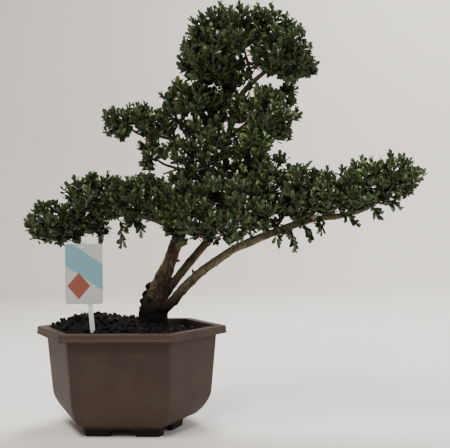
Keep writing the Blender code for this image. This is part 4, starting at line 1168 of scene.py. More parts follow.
@dataclass
class Soil:
    """The heaped soil: a lumpy body with loose crumbs, chips and fibres on it."""

    plan: SixSidedPlan = field(default_factory=SixSidedPlan)
    level: float = 0.152
    edge: float = 0.0180
    cell: float = 0.0026
    heaps: tuple[tuple[float, float, float, float, float], ...] = (
        (-0.068, 0.000, 0.032, 0.040, 0.055), (-0.010, -0.005, 0.012, 0.030, 0.045),
        (0.040, -0.006, 0.021, 0.032, 0.036), (-0.120, 0.000, 0.008, 0.030, 0.050))
    lumps: tuple[tuple[float, float], ...] = ((0.0040, 0.014), (0.0032, 0.0070), (0.0018, 0.0032))
    brim: float = 0.163         # at the wall the surface stays under this height
    brim_slope: float = 0.9     # and may rise by this much for each metre away from it
    below: tuple[tuple[float, float], ...] = (  # inset and height of the rings under the surface
        (0.0225, 0.115), (0.0287, 0.058), (0.0370, 0.044), (0.0550, 0.025), (0.0660, 0.0192))
    ground_tint: float = 0.3
    counts: tuple[tuple[Crumb, int], ...] = ((Crumb.LUMP, 1700), (Crumb.CHIP, 240), (Crumb.FIBRE, 150))
    sizes: dict[Crumb, tuple[float, float]] = field(default_factory=lambda: {
        Crumb.LUMP: (0.0014, 0.0088), Crumb.CHIP: (0.0028, 0.0100), Crumb.FIBRE: (0.006, 0.016)})
    smallness: float = 2.6      # the higher, the more of the bits are small
    shapes_each: int = 10
    pale: tuple[float, float] = (0.8, 1.0)      # tints of chips and fibres
    scatter: tuple[float, float] = (0.145, 0.100)
    wall_gap: float = 0.003     # loose bits keep this far from the wall
    seat: float = 0.22          # a bit's middle stands this share of its size above the surface
    seed: int = 5

    def height(self, x: float, y: float) -> float:
        """Height of the surface.

        Args:
            x: place along the pot.
            y: place across it.

        Returns:
            The height there.
        """
        height = self.level
        for cx, cy, rise, spread_x, spread_y in self.heaps:
            height += rise * math.exp(-((x - cx) / spread_x) ** 2 / 2 - ((y - cy) / spread_y) ** 2 / 2)
        for rise, size in self.lumps:
            height += rise * noise.noise(Vector((x, y, 0.0)) / size)
        inset = self.plan.depth / 2 - abs(y)
        return min(height, self.brim + max(0.0, inset - self.edge) * self.brim_slope)

    def inside(self, x: float, y: float, inset: float) -> bool:
        """True where a place lies inside the plan, moved in by inset."""
        return abs(y) < self.plan.depth / 2 - inset and abs(x) < self.plan.edge(y, inset)

    def body(self) -> bmesh.types.BMesh:
        """A fine sheet cut to the pot's plan, raised into heaps and closed below."""
        bm = bmesh.new()
        across, deep = self.plan.length, self.plan.depth
        bmesh.ops.create_grid(bm, x_segments=round(across / self.cell), y_segments=round(deep / self.cell),
                              size=0.5, matrix=Matrix.Diagonal((across, deep, 1.0, 1.0)))
        outline = self.plan.ring(self.edge)
        steps = self.plan.corner_steps + 1
        for k in range(6):
            start, end = outline[k * steps + steps - 1], outline[(k + 1) * steps % len(outline)]
            outward = (end - start).cross(UP).normalized()
            bmesh.ops.bisect_plane(bm, geom=bm.verts[:] + bm.edges[:] + bm.faces[:], plane_co=start,
                                   plane_no=outward, clear_outer=True)
        for vert in bm.verts:
            vert.co.z = self.height(vert.co.x, vert.co.y)
        edges = [edge for edge in bm.edges if edge.is_boundary]
        inset = self.edge
        for deeper, height in self.below:
            ring, edges = extrude_ring(bm, edges)
            for vert in ring:
                vert.co = (*self.plan.moved_in(vert.co.x, vert.co.y, inset, deeper), height)
            inset = deeper
        bmesh.ops.contextual_create(bm, geom=edges)
        bmesh.ops.recalc_face_normals(bm, faces=bm.faces)
        return bm

    def bit(self, kind: Crumb, draw: random.Random) -> bmesh.types.BMesh:
        """One loose bit.

        Args:
            kind: crumb, chip or fibre.
            draw: the seeded draw.

        Returns:
            Its shape at the origin.
        """
        bm = bmesh.new()
        if kind is Crumb.LUMP:
            bmesh.ops.create_icosphere(bm, subdivisions=1, radius=0.5)
            for vert in bm.verts:
                vert.co *= draw.uniform(0.62, 1.2)
        elif kind is Crumb.CHIP:
            bmesh.ops.create_cube(bm, size=1.0)
            for vert in bm.verts:
                vert.co.x *= draw.uniform(0.5, 1.3)
                vert.co.y *= draw.uniform(0.25, 0.6)
                vert.co.z *= draw.uniform(0.12, 0.28)
        else:
            add_tube(bm, [Vector((0.0, 0.0, 0.0, 0.03)), Vector((0.4, 0.1, 0.15, 0.03)),
                          Vector((0.9, -0.1, 0.1, 0.02)), Vector((1.3, 0.05, 0.3, 0.01))], 4)
        return bm

    def build(self, site: Site) -> None:
        """Heap the soil and scatter its loose bits."""
        draw = random.Random(self.seed)
        bm = self.body()
        tint = bm.faces.layers.float.new("tint")
        for face in bm.faces:
            face.smooth = True
            face[tint] = self.ground_tint
        stamp = Stamp(bm)
        reach_x, reach_y = self.scatter
        for kind, count in self.counts:
            shapes = [stamp.template(self.bit(kind, draw)) for _ in range(self.shapes_each)]
            smallest, largest = self.sizes[kind]
            for _ in range(count):
                x, y = draw.uniform(-reach_x, reach_x), draw.uniform(-reach_y, reach_y)
                if not self.inside(x, y, self.edge + self.wall_gap):
                    continue
                size = smallest + (largest - smallest) * draw.random() ** self.smallness
                place = Matrix.LocRotScale(
                    Vector((x, y, self.height(x, y) + size * self.seat)),
                    Vector((draw.gauss(0, 1), draw.gauss(0, 1), draw.gauss(0, 1))).to_track_quat('X', 'Z'),
                    Vector((size, size, size)))
                shape = draw.choice(shapes)
                tone = draw.random() if kind is Crumb.LUMP else draw.uniform(*self.pale)
                stamp.press(shape, place, tone)
        stamp.clear()
        site.finish("potting_soil", bm, (PottingSoil(),), Slot.SOIL, ("soil",))


@dataclass
class TrunkAndBranches:
    """The wood: a knobbly base that splits into three stems, with limbs, stubs and thin branches."""

    voxel: float = 0.0015
    thick_sides: int = 16
    thin_sides: int = 8
    smoothings: int = 2
    burrs: tuple[tuple[Triple, float], ...] = (
        ((0.031, -0.006, 0.234), 0.0047), ((0.027, -0.004, 0.223), 0.0052), ((0.021, -0.006, 0.210), 0.0046),
        ((0.036, -0.017, 0.213), 0.0040), ((0.050, -0.018, 0.199), 0.0045), ((0.022, 0.004, 0.197), 0.0050),
        ((0.058, 0.014, 0.196), 0.0050), ((0.034, 0.018, 0.204), 0.0045))
    burr_shade: float = 2.7     # how dark a burr's middle is, where 1 is full
    burr_fade: float = 1.4      # how much of that goes with each radius from it
    ring_gap: float = 0.024     # distance between the ring scars of the stems
    ring_width: float = 0.0022
    ring_rise: float = 0.10     # this and the rises below are of the limb's radius
    ridges: tuple[tuple[float, float], ...] = ((0.0042, 0.10), (0.0105, 0.16))  # size and rise
    knob_size: float = 0.011
    knob_rise: float = 0.22
    knobs_below: float = 0.24   # knobs stand on the base alone, under this height
    relief_limit: float = 0.020     # the radius that the relief is worked out from is never more
    limb_shift: float = 0.31    # sets the limbs' grain patterns apart
    grain_stretch: float = 0.22     # how much slower the pattern runs along a limb than across it
    olive: dict[int, float] = field(default_factory=lambda: {0: 0.0, 2: 0.9})   # main stem, right limb
    olive_elsewhere: float = 0.35
    olive_patch: float = 0.02
    olive_spread: float = 0.6

    def thick_limbs(self) -> list[Limb]:
        """Limbs whose joints are grown together."""
        return [MAIN_STEM, MIDDLE_STEM, RIGHT_LIMB, *ROOT_FLARES, *CUT_STUBS]

    def grown_together(self) -> bmesh.types.BMesh:
        """Stems, limbs, roots, stubs and burrs fused into one skin."""
        bm = bmesh.new()
        for limb in self.thick_limbs():
            add_tube(bm, smooth_route(limb, 8), self.thick_sides)
        for place, radius in self.burrs:
            bmesh.ops.create_icosphere(bm, subdivisions=3, radius=radius, matrix=Matrix.Translation(place))
        bmesh.ops.recalc_face_normals(bm, faces=bm.faces)
        body = helper("wood", bm)
        fuse = body.modifiers.new("fuse", 'REMESH')
        fuse.mode = 'VOXEL'
        fuse.voxel_size = self.voxel
        fused = baked(body)
        for _ in range(self.smoothings):
            bmesh.ops.smooth_vert(fused, verts=fused.verts, factor=0.5, use_axis_x=True, use_axis_y=True,
                                  use_axis_z=True)
        return fused

    def carve(self, bm: bmesh.types.BMesh) -> None:
        """Work ridges, rings and knobs into the skin, and note the run of the grain.

        Args:
            bm: the wood's shape.
        """
        grain = bm.verts.layers.float_vector.new("grain")
        young = bm.verts.layers.float.new("young")
        scarred = bm.verts.layers.float.new("scarred")
        stations: list[tuple[Vector, float, float, int]] = []
        for number, limb in enumerate((*self.thick_limbs(), *BRANCHES)):
            route = smooth_route(limb, 10)
            run = 0.0
            for before, here in zip([route[0], *route], route):
                run += (here.xyz - before.xyz).length
                stations.append((here.xyz, here.w, run, number))
        tree = kdtree.KDTree(len(stations))
        for i, (place, _, _, _) in enumerate(stations):
            tree.insert(place, i)
        tree.balance()
        bm.normal_update()
        for vert in bm.verts:
            _, index, _ = tree.find(vert.co)
            place, radius, run, number = stations[index]
            out = vert.co - place
            apart = Vector((number * self.limb_shift, 0.0, 0.0))
            vert[grain] = out + apart + UP * (run * self.grain_stretch - out.z)
            olive = self.olive.get(number, self.olive_elsewhere)
            olive += self.olive_spread * olive * noise.noise(vert.co / self.olive_patch)
            vert[young] = min(1.0, max(0.0, olive))
            for spot, size in self.burrs:
                near = (vert.co - Vector(spot)).length / size
                shade = min(1.0, max(0.0, self.burr_shade - self.burr_fade * near))
                vert[scarred] = max(vert[scarred], shade)
            ridge = sum(noise.noise(vert[grain] / size) * rise for size, rise in self.ridges)
            ring = math.exp(-((run % self.ring_gap - self.ring_gap / 2) / self.ring_width) ** 2)
            knob = 0.0
            if vert.co.z < self.knobs_below:
                knob = max(0.0, noise.noise(vert.co / self.knob_size)) * self.knob_rise
            relief = ridge + knob + ring * self.ring_rise
            vert.co += vert.normal * min(radius, self.relief_limit) * relief

    def build(self, site: Site) -> None:
        """Grow the wood and put it in place."""
        bm = self.grown_together()
        for limb in BRANCHES:
            add_tube(bm, smooth_route(limb, 6), self.thin_sides)
        bmesh.ops.recalc_face_normals(bm, faces=bm.faces)
        self.carve(bm)
        for face in bm.faces:
            face.smooth = True
        site.finish("bark_covered_wood", bm, (Bark(),), Slot.BARK, ("trunk_and_branches",))


@dataclass
class LeafShape:
    """One small leaf: an oval blade with its widest part past the middle, folded and curled."""

    rows: tuple[tuple[float, float], ...]   # place along the blade, and the width there
    width: float
    curl: float
    fold: float
    belly: float = 0.035
    crest: float = 0.3          # the curl is highest here, of the blade's length

    def blade(self) -> bmesh.types.BMesh:
        """A closed thin blade along +Y with its face to +Z, from a small grid pinched at both ends."""
        bm = bmesh.new()
        uv = bm.loops.layers.uv.new("leaf")
        under = bm.faces.layers.float.new("under")
        gaps = len(self.rows) - 1
        bmesh.ops.create_grid(bm, x_segments=2, y_segments=gaps, size=0.5)
        for vert in bm.verts:
            vert.co.y = self.rows[round((vert.co.y + 0.5) * gaps)][0] - 0.5
        for face in bm.faces:
            for loop in face.loops:
                loop[uv].uv = (loop.vert.co.x + 0.5, loop.vert.co.y + 0.5)
        for vert in bm.verts:
            side, along = vert.co.x * 2, vert.co.y + 0.5
            width = min(self.rows, key=lambda row: abs(row[0] - along))[1] * self.width / 2
            vert.co = (side * width, along,
                       abs(side) * width * self.fold * 2 - self.curl * (along - self.crest) ** 2)
        lower = bmesh.ops.duplicate(bm, geom=bm.verts[:] + bm.edges[:] + bm.faces[:])["geom"]
        for item in lower:
            if isinstance(item, bmesh.types.BMVert) and not item.is_boundary:
                item.co.z -= self.belly
        faces = [item for item in lower if isinstance(item, bmesh.types.BMFace)]
        bmesh.ops.reverse_faces(bm, faces=faces)
        for face in faces:
            face[under] = 1.0
        bmesh.ops.remove_doubles(bm, verts=bm.verts, dist=WELD)
        for face in bm.faces:
            face.smooth = True
        for edge in bm.edges:
            sides = {face[under] for face in edge.link_faces}
            edge.smooth = len(sides) == 1
        return bm


@dataclass
class Spray:
    """One leafy shoot: where it starts, where it points and how it is dressed."""

    root: Vector
    axis: Vector
    length: float
    leaves: int
    tint: float
    face: Vector                # leaves turn their upper sides this way
    fine: bool = True
    scale: float = 1.0


@dataclass
class Foliage:
    """The leafy pads: shoots over each pad's tufts, a layer inside, and the twigs that carry them."""

    # Tufts
    depth_step: float = 1.45    # distance between tufts in depth, of their radius
    depth_limit: float = 0.108
    depth_stray: float = 0.3    # of a tuft's radius
    tuft_inset: float = 0.75    # the first and last tuft stand this share of their radius inside the pad
    tuft_spread: tuple[float, float] = (0.92, 1.06)
    eye: Triple = (0.255, -1.178, 0.319)     # rows of tufts run in line with this place
    # Shoots
    shoot_gap: float = 0.0155
    fewest_shoots: int = 6
    shoot_length: float = 0.024
    length_spread: tuple[float, float] = (0.85, 1.15)
    stray: tuple[float, float] = (0.3, 0.2)     # of a shoot's direction: sideways and up, and down
    tip_reach: tuple[float, float] = (0.70, 1.16)   # the shoots' tips, of a tuft's radius
    foot_drop: float = 0.45     # where a tuft's shoots start, below its centre
    buried: float = 0.68        # no tip stands deeper in a neighbouring tuft
    underside: float = 0.45     # share of shoots kept below
    underside_from: float = -0.25   # a shoot that points lower than this is below
    leaders: float = 0.22       # share of shoots that stand out past the others
    leader_floor: float = -0.35     # no leader points lower than this
    leader_reach: tuple[float, float] = (0.003, 0.0095)
    leader_length: float = 1.25     # of another shoot's length
    bare_patch: float = -0.17   # no shoot stands where the noise is lower
    patch_size: float = 0.018
    lift: float = 0.45          # upward pull on every shoot
    # The right limb's bare stretch, which shoots keep clear of, seen from the front
    bare_points: tuple[int, int] = (6, 10)  # its first point, and the first one past it
    bare_reach: float = 0.045   # along the limb, on both sides of each point
    bare_slope: float = 0.28
    bare_behind: float = 0.004  # shoots further than this behind the limb don't count
    limb_gap: float = 0.011
    # Leaves
    leaf_length: float = 0.0134
    leaf_count: tuple[int, int] = (7, 8)
    leaf_spread: tuple[float, float] = (0.78, 1.12)
    leaf_turn: float = 137.5    # degrees round the shoot from one leaf to the next
    first_leaf: float = 0.22    # where they start, of the shoot's length
    leaf_back: float = 0.50     # each one's foot stands this far back, of its own length
    tip_leaf: float = 0.75      # size of the last leaf, of the others'
    open_angles: tuple[float, float] = (60.0, 12.0)     # degrees from the shoot, at its foot and its tip
    open_stray: float = 12.0
    turn_to_light: float = 0.6
    face_up: float = 0.7
    fine_depth: float = 0.92    # leaves have more rows past this depth in a neighbouring tuft
    fine_front: float = 0.02    # and in front of this place
    leaf_kinds: tuple[Triple, ...] = (   # width, curl and fold
        (0.50, 0.14, 0.20), (0.45, 0.26, 0.15), (0.54, 0.03, 0.24), (0.42, 0.20, 0.28))
    fine_rows: tuple[tuple[float, float], ...] = (
        (0.0, 0.0), (0.34, 0.66), (0.70, 1.0), (0.93, 0.72), (1.0, 0.26))
    plain_rows: tuple[tuple[float, float], ...] = ((0.0, 0.0), (0.42, 0.84), (0.82, 0.84), (1.0, 0.0))
    # Colour values: 0 is an old leaf and 1 a fresh one; they also carry painted shade inside the pads and
    # painted light on their outer, upward shoots
    tones: dict[str, float] = field(default_factory=lambda: {
        "middle_right": 0.36, "centre_right": 0.14, "right_tip": 0.10, "lower_left_tip": -0.06,
        "lower_left": -0.02})
    # painted light and shade: leaves are lighter on shoots that point up and stand out of the pad, darker
    # deep inside it, where the leaves are also older
    painted_light_and_age_tint: float = 0.55
    cloud_tint: float = 0.26
    cloud_size: float = 0.03
    shoot_tint: float = 0.13
    leaf_tint: float = 0.23
    tip_tint: float = 0.34      # how much fresher a shoot's tip is than its foot
    foot_tint: float = 0.18     # how much older its foot is than the shoot's own tint
    # leaves on the front side at the spots below are set to this light value
    light_spot_tint: float = 0.72
    light_spots: tuple[Triple, ...] = (      # x, z and radius
        (0.252, 0.496, 0.016), (0.183, 0.427, 0.014), (0.070, 0.374, 0.014), (0.457, 0.428, 0.018),
        (0.490, 0.425, 0.016), (0.400, 0.425, 0.012), (0.186, 0.437, 0.012))
    # Hanging sprigs
    sprig_places: tuple[float, ...] = (0.45, 0.72, 1.0)     # along the twig
    sprig_length: float = 0.018
    sprig_back: float = 0.012
    sprig_leaves: int = 5
    sprig_tint: float = 0.18
    sprig_scale: float = 1.18
    # Twigs
    twig_radius: float = 0.00050
    twig_limit: float = 0.0018
    twig_growth: float = 0.34   # power of the number of shoots that a twig carries
    twig_step: float = 0.013
    twig_sway: float = 0.0012
    twig_end: float = 0.8       # of the shoot's length
    seed: int = 11

    def directions(self, count: int) -> Iterator[Vector]:
        """Spread directions evenly over a ball.

        Args:
            count: how many.

        Yields:
            Unit vectors on a spiral.
        """
        golden = math.pi * (3.0 - math.sqrt(5.0))
        for i in range(count):
            z = 1.0 - (2 * i + 1) / count
            flat = math.sqrt(1.0 - z * z)
            yield Vector((math.cos(golden * i) * flat, math.sin(golden * i) * flat, z))

    def tufts(self, name: str, draw: random.Random) -> list[tuple[Vector, float]]:
        """Set a pad's tufts behind one another, as deep as the pad is there.

        Args:
            name: the pad's name.
            draw: the seeded draw.

        Returns:
            Centre and radius of each tuft.
        """
        found = []
        eye_x, eye_y, eye_z = self.eye
        for x, z, radius in TUFTS[name]:
            place, size = Vector((x * MM, 0.0, z * MM)), radius * MM
            middle, reach = PADS[name][0][0][1], 0.0
            for centre, radii in PADS[name]:
                share = ((place.x - centre[0]) / radii[0]) ** 2 + ((place.z - centre[2]) / radii[2]) ** 2
                if share < 1.0 and radii[1] * math.sqrt(1.0 - share) > reach:
                    middle, reach = centre[1], radii[1] * math.sqrt(1.0 - share)
            half = max(0.0, reach - size * self.tuft_inset)
            count = 1 + round(2 * half / (size * self.depth_step))
            lean = Vector(((place.x - eye_x) / -eye_y, 1.0, (place.z - eye_z) / -eye_y))
            for k in range(count):
                step = 0.0 if count == 1 else half * (2 * k / (count - 1) - 1)
                y = middle + step + draw.uniform(-self.depth_stray, self.depth_stray) * size
                y = min(max(y, -self.depth_limit + size), self.depth_limit - size)
                found.append((place + lean * y, size * draw.uniform(*self.tuft_spread)))
        return found

    def shoots(self, tufts: Sequence[tuple[Vector, float]], tone: float, draw: random.Random) -> list[Spray]:
        """Set the shoots of every tuft: they fan out and up from its foot.

        Args:
            tufts: centre and radius of each tuft.
            tone: how much lighter the pad's leaves are.
            draw: the seeded draw.

        Returns:
            The shoots.
        """
        found = []
        side, down = self.stray
        for centre, radius in tufts:
            near = [(other, size) for other, size in tufts
                    if other is not centre and (other - centre).length < radius + size]
            foot = centre - UP * radius * self.foot_drop
            spin = Matrix.Rotation(draw.uniform(0.0, math.tau), 3, 'Z')
            count = max(self.fewest_shoots, round(4 * math.pi * (radius / self.shoot_gap) ** 2))
            for direction in self.directions(count):
                strayed = Vector((
                    draw.uniform(-side, side), draw.uniform(-side, side), draw.uniform(-down, side)))
                way = (spin @ direction + strayed).normalized()
                tip = centre + way * radius * draw.uniform(*self.tip_reach)
                leads = draw.random() < self.leaders and way.z > self.leader_floor
                if leads:
                    tip += (way + UP * self.lift).normalized() * draw.uniform(*self.leader_reach)
                if way.z < self.underside_from and draw.random() > self.underside:
                    continue
                depth = min(((tip - other).length / size for other, size in near), default=1.0)
                if depth < self.buried or noise.noise(tip / self.patch_size) < self.bare_patch:
                    continue
                if self.hides_limb(tip):
                    continue
                axis = ((tip - foot).normalized() + UP * self.lift).normalized()
                length = self.shoot_length * draw.uniform(*self.length_spread)
                if leads:
                    length *= self.leader_length
                length = min(length, (tip - foot).length)
                # painted light and shade: shoots that point up and stand clear of their neighbours get
                # lighter leaves, buried ones darker; inner leaves are also older
                outer = 0.5 * min(1.0, depth) + 0.5 * max(0.0, way.z)
                cloud = self.cloud_tint * noise.noise(tip / self.cloud_size)
                strays = draw.uniform(-self.shoot_tint, self.shoot_tint)
                tint = tone + self.painted_light_and_age_tint * outer + cloud + strays
                # leaves in front of the middle at these spots are set light
                for x, z, reach in self.light_spots:
                    if math.hypot(tip.x - x, tip.z - z) < reach and tip.y < 0.0:
                        tint = self.light_spot_tint
                fine = leads or depth > self.fine_depth and tip.y < self.fine_front
                face = (way + UP * self.face_up).normalized()
                leaves = draw.randint(*self.leaf_count) + leads
                found.append(Spray(tip - axis * length, axis, length, leaves, tint, face, fine))
        return found

    def hides_limb(self, tip: Vector) -> bool:
        """Whether a shoot's tip would cover the bare stretch of the right limb, seen from the front."""
        eye = Vector(self.eye)
        first, past = self.bare_points
        for x, y, z, _ in RIGHT_LIMB[first:past]:
            if tip.y > y + self.bare_behind:
                continue
            seen = eye + (tip - eye) * ((y - eye.y) / (tip.y - eye.y))
            above = abs(seen.z - z - (seen.x - x) * self.bare_slope)
            if abs(seen.x - x) < self.bare_reach and above < self.limb_gap:
                return True
        return False

    def hanging_sprigs(self, name: str, draw: random.Random) -> list[Spray]:
        """Set the sprigs that hang from a pad's underside.

        Args:
            name: the pad's name.
            draw: the seeded draw.

        Returns:
            The sprigs, some along each hanging twig.
        """
        found = []
        for first, last in HANGING_TWIGS.get(name, ()):
            start, end = Vector(first), Vector(last)
            for share in self.sprig_places:
                strayed = Vector((draw.uniform(-0.6, 0.6), -0.2, 0.1))
                axis = ((end - start).normalized() + strayed).normalized()
                root = start.lerp(end, share) - axis * self.sprig_back
                face = Vector((draw.uniform(-0.6, 0.2), -1.6, 0.4))
                found.append(Spray(root, axis, self.sprig_length, self.sprig_leaves, self.sprig_tint, face,
                                   scale=self.sprig_scale))
        return found

    def dress(
        self,
        shoot: Spray,
        leaves: Sequence[bpy.types.Mesh],
        stamp: Stamp,
        draw: random.Random,
    ) -> None:
        """Set a shoot's leaves round it, wide at its foot and closing to a bunch at its tip.

        Args:
            shoot: the shoot.
            leaves: kept leaf shapes.
            stamp: takes the leaves.
            draw: the seeded draw.
        """
        side = shoot.axis.orthogonal().normalized()
        across = shoot.axis.cross(side)
        spin = draw.uniform(0.0, math.tau)
        wide, narrow = self.open_angles
        for i in range(shoot.leaves):
            share = (i + 1) / shoot.leaves
            angle = spin + i * math.radians(self.leaf_turn)
            radial = side * math.cos(angle) + across * math.sin(angle)
            stray = draw.uniform(-self.open_stray, self.open_stray)
            open_angle = math.radians(wide + (narrow - wide) * share + stray)
            heading = shoot.axis * math.cos(open_angle) + radial * math.sin(open_angle)
            facing = shoot.axis * math.sin(open_angle) - radial * math.cos(open_angle)
            facing = (facing + shoot.face * self.turn_to_light).normalized()
            right = heading.cross(facing).normalized()
            turn = Matrix((right, heading, right.cross(heading))).transposed().to_4x4()
            size = self.leaf_length * shoot.scale * draw.uniform(*self.leaf_spread)
            if i == shoot.leaves - 1:
                size *= self.tip_leaf
            along = shoot.length * (self.first_leaf + (1 - self.first_leaf) * share) - size * self.leaf_back
            place = shoot.root + shoot.axis * along
            tint = shoot.tint + draw.gauss(0.0, self.leaf_tint) + self.tip_tint * share - self.foot_tint
            tint = min(1.0, max(0.0, tint))
            stamp.press(draw.choice(leaves), Matrix.Translation(place) @ turn @ Matrix.Scale(size, 4), tint)

    def twigs(
        self,
        shoots: Sequence[Spray],
        starts: Sequence[Vector],
        twig: bpy.types.Mesh,
        stamp: Stamp,
        draw: random.Random,
    ) -> None:
        """Grow twigs from the limb to every shoot, thicker where more shoots hang on them.

        Args:
            shoots: the pad's shoots.
            starts: places on the limb.
            twig: a kept bar of unit length.
            stamp: takes the bars.
            draw: the seeded draw.
        """
        places = list(starts)
        parents = [-1] * len(places)
        loads = [0] * len(places)
        heart = sum(places, Vector()) / len(places)
        for shoot in sorted(shoots, key=lambda each: (each.root - heart).length):
            goals = [shoot.root, shoot.root + shoot.axis * shoot.length * self.twig_end]
            nearest = min(range(len(places)), key=lambda i: (places[i] - goals[0]).length_squared)
            start = places[nearest]
            steps = max(1, round((goals[0] - start).length / self.twig_step))
            for k in range(1, steps):
                sway = Vector((draw.gauss(0, 1), draw.gauss(0, 1), draw.gauss(0, 1))) * self.twig_sway
                goals.insert(-2, start.lerp(goals[-2], k / steps) + sway)
            for goal in goals:
                places.append(goal)
                parents.append(nearest)
                loads.append(0)
                nearest = len(places) - 1
            while nearest >= 0:
                loads[nearest] += 1
                nearest = parents[nearest]
        for place, parent, load in zip(places, parents, loads):
            if parent < 0:
                continue
            span = place - places[parent]
            radius = min(self.twig_limit, self.twig_radius * load ** self.twig_growth)
            turn = span.to_track_quat('Z', 'Y')
            scale = Vector((radius, radius, span.length))
            stamp.press(twig, Matrix.LocRotScale(places[parent], turn, scale), 0.0)

    def limb_places(self, lumps: Sequence[Lump]) -> list[Vector]:
        """Places on the wood that lie inside a pad."""
        found = []
        for limb in (MAIN_STEM, MIDDLE_STEM, RIGHT_LIMB, *BRANCHES):
            for point in smooth_route(limb, 5):
                for centre, radii in lumps:
                    if Vector((a - b) / c for a, b, c in zip(point.xyz, centre, radii)).length < 0.8:
                        found.append(point.xyz)
        return found or [Vector(lump[0]) for lump in lumps]

    def leaf_shapes(self, stamp: Stamp, rows: tuple[tuple[float, float], ...]) -> list[bpy.types.Mesh]:
        """Keep a few leaves that differ in width, curl and fold.

        Args:
            stamp: keeps the shapes.
            rows: the blade's rows from its foot to its tip.

        Returns:
            The kept leaves.
        """
        return [stamp.template(LeafShape(rows, *kind).blade()) for kind in self.leaf_kinds]

    def build_pad(self, name: str, site: Site) -> None:
        """Grow one pad and put it in place.

        Args:
            name: the pad's name.
            site: places the finished piece.
        """
        draw = random.Random(f"{self.seed} {name}")
        bm = bmesh.new()
        bm.loops.layers.uv.new("leaf")
        bm.faces.layers.float.new("under")
        stamp = Stamp(bm)
        fine = self.leaf_shapes(stamp, self.fine_rows)
        plain = self.leaf_shapes(stamp, self.plain_rows)
        bar = bmesh.new()
        bmesh.ops.create_cone(bar, cap_ends=True, segments=3, radius1=1.0, radius2=0.9, depth=1.0,
                              matrix=Matrix.Translation((0.0, 0.0, 0.5)))
        for face in bar.faces:
            face.material_index = 1
        twig = stamp.template(bar)
        tufts = self.tufts(name, draw)
        shoots = self.shoots(tufts, self.tones.get(name, 0.0), draw)
        shoots += self.hanging_sprigs(name, draw)
        for shoot in shoots:
            self.dress(shoot, fine if shoot.fine else plain, stamp, draw)
        self.twigs(shoots, self.limb_places(PADS[name]), twig, stamp, draw)
        stamp.clear()
        LOG.info("%s: %d tufts, %d shoots, %d leaves", name, len(tufts), len(shoots),
                 sum(shoot.leaves for shoot in shoots))
        site.finish(f"leaves_{name}", bm, (HollyLeaf(), TwigSkin()), Slot.LEAF, (f"foliage_{name}",))

    def build(self, site: Site) -> None:
        """Grow every pad."""
        for name in PADS:
            self.build_pad(name, site)


@dataclass
class PlantLabel:
    """The card and its stake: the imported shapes, with printed and frosted finishes."""

    def build(self, nodes: Mapping[str, bpy.types.Object]) -> None:
        """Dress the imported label.

        Args:
            nodes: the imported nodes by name.
        """
        low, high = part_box("label_card")
        for name, finish in (("label_card", PrintedCard(low, high)), ("label_stake", ClearPlastic())):
            for slot in nodes[name].material_slots:
                slot.material = finish.material()
            LOG.info("%s: dressed", name)


@dataclass(frozen=True)
class SoftLight:
    """One round soft light."""

    name: str
    place: Triple
    width: float
    watts: float
    tone: str


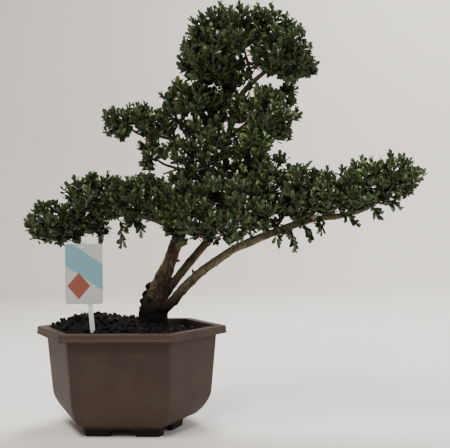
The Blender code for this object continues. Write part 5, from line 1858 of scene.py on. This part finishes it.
@dataclass
class Studio:
    """A pale round cove, five soft lights, and the camera."""

    floor_radius: float = 3.0
    cove_radius: float = 1.2
    cove_steps: int = 8
    wall_height: float = 4.0
    sweep_steps: int = 96
    aim: Triple = (0.12, 0.0, 0.36)     # the plant's middle, from the pot's
    plant_lights: tuple[SoftLight, ...] = (     # their places are from the plant's middle
        SoftLight("key_light", (-0.6, -0.9, 2.2), 0.7, 48.0, "fffaf2"),
        SoftLight("front_light", (-0.3, -1.7, 1.7), 0.6, 38.0, "fffdf8"),
        SoftLight("top_light", (0.1, 0.8, 1.9), 0.8, 74.0, "ffffff"),
        SoftLight("side_light", (2.0, -0.5, 0.8), 0.8, 20.0, "f4f6ff"))
    paper_light: SoftLight = SoftLight("paper_light", (1.2, 1.4, 3.0), 1.8, 200.0, "fffcf8")
    paper_aim: Triple = (1.7, 4.0, 1.3)
    room_tone: str = "e4e6ea"
    room_strength: float = 0.26
    camera_place: Triple = (0.25489, -1.17838, 0.31911)
    camera_heading: Triple = (-0.07758, 0.99685, 0.01641)
    camera_roll: float = 0.79   # degrees
    lens: float = 56.0
    sensor: float = 36.0

    def cove(self) -> None:
        """Floor and background in one sweep."""
        bm = bmesh.new()
        arc = [(0.0, 0.0), (self.floor_radius, 0.0)]
        for k in range(1, self.cove_steps + 1):
            turn = math.pi / 2 * k / self.cove_steps
            arc.append((self.floor_radius + math.sin(turn) * self.cove_radius,
                        (1 - math.cos(turn)) * self.cove_radius))
        arc.append((self.floor_radius + self.cove_radius, self.wall_height))
        verts = [bm.verts.new((x, 0.0, z)) for x, z in arc]
        edges = [bm.edges.new(pair) for pair in zip(verts, verts[1:])]
        bmesh.ops.spin(bm, geom=verts + edges, cent=(0, 0, 0), axis=UP, angle=math.tau,
                       steps=self.sweep_steps, use_merge=True, use_duplicate=False)
        bmesh.ops.remove_doubles(bm, verts=bm.verts, dist=WELD)
        bmesh.ops.recalc_face_normals(bm, faces=bm.faces)
        bmesh.ops.reverse_faces(bm, faces=bm.faces)
        for face in bm.faces:
            face.smooth = True
        floor = helper("studio_cove", bm)
        floor.data.materials.append(StudioPaper().material())

    def light(self, kind: SoftLight, place: Vector, aim: Vector) -> None:
        """Add one soft light.

        Args:
            kind: its name, width, power and colour.
            place: where it stands.
            aim: where it points.
        """
        data = bpy.data.lights.new(kind.name, 'AREA')
        data.shape = 'DISK'
        data.size = kind.width
        data.energy = kind.watts
        data.color = linear(kind.tone)[:3]
        lamp = bpy.data.objects.new(kind.name, data)
        lamp.location = place
        lamp.visible_camera = False
        lamp.rotation_mode = 'QUATERNION'
        lamp.rotation_quaternion = (aim - place).to_track_quat('-Z', 'Y')
        bpy.context.scene.collection.objects.link(lamp)

    def build(self, site: Site) -> None:
        """Set up floor, lights, surroundings and camera."""
        self.cove()
        aim = site.centre + Vector(self.aim)
        for kind in self.plant_lights:
            self.light(kind, aim + Vector(kind.place), aim)
        self.light(self.paper_light, Vector(self.paper_light.place), Vector(self.paper_aim))
        world = bpy.data.worlds.new("pale_room")
        world.use_nodes = True
        background = world.node_tree.nodes["Background"]
        background.inputs["Color"].default_value = linear(self.room_tone)
        background.inputs["Strength"].default_value = self.room_strength
        bpy.context.scene.world = world
        data = bpy.data.cameras.new("camera")
        data.lens = self.lens
        data.sensor_width = self.sensor
        camera = bpy.data.objects.new("camera", data)
        turn = Vector(self.camera_heading).to_track_quat('-Z', 'Y').to_matrix().to_4x4()
        roll = Matrix.Rotation(math.radians(-self.camera_roll), 4, 'Z')
        camera.matrix_world = Matrix.Translation(site.centre + Vector(self.camera_place)) @ turn @ roll
        bpy.context.scene.collection.objects.link(camera)
        bpy.context.scene.camera = camera
        LOG.info("studio ready")


def main() -> None:
    """Build the pieces in order."""
    logging.basicConfig(level=logging.INFO, format="%(message)s")
    site = Site.from_frame()
    Pot().build(site)
    Soil().build(site)
    TrunkAndBranches().build(site)
    Foliage().build(site)
    PlantLabel().build(frame["nodes"])
    Studio().build(site)


if __name__ == "__main__":
    main()
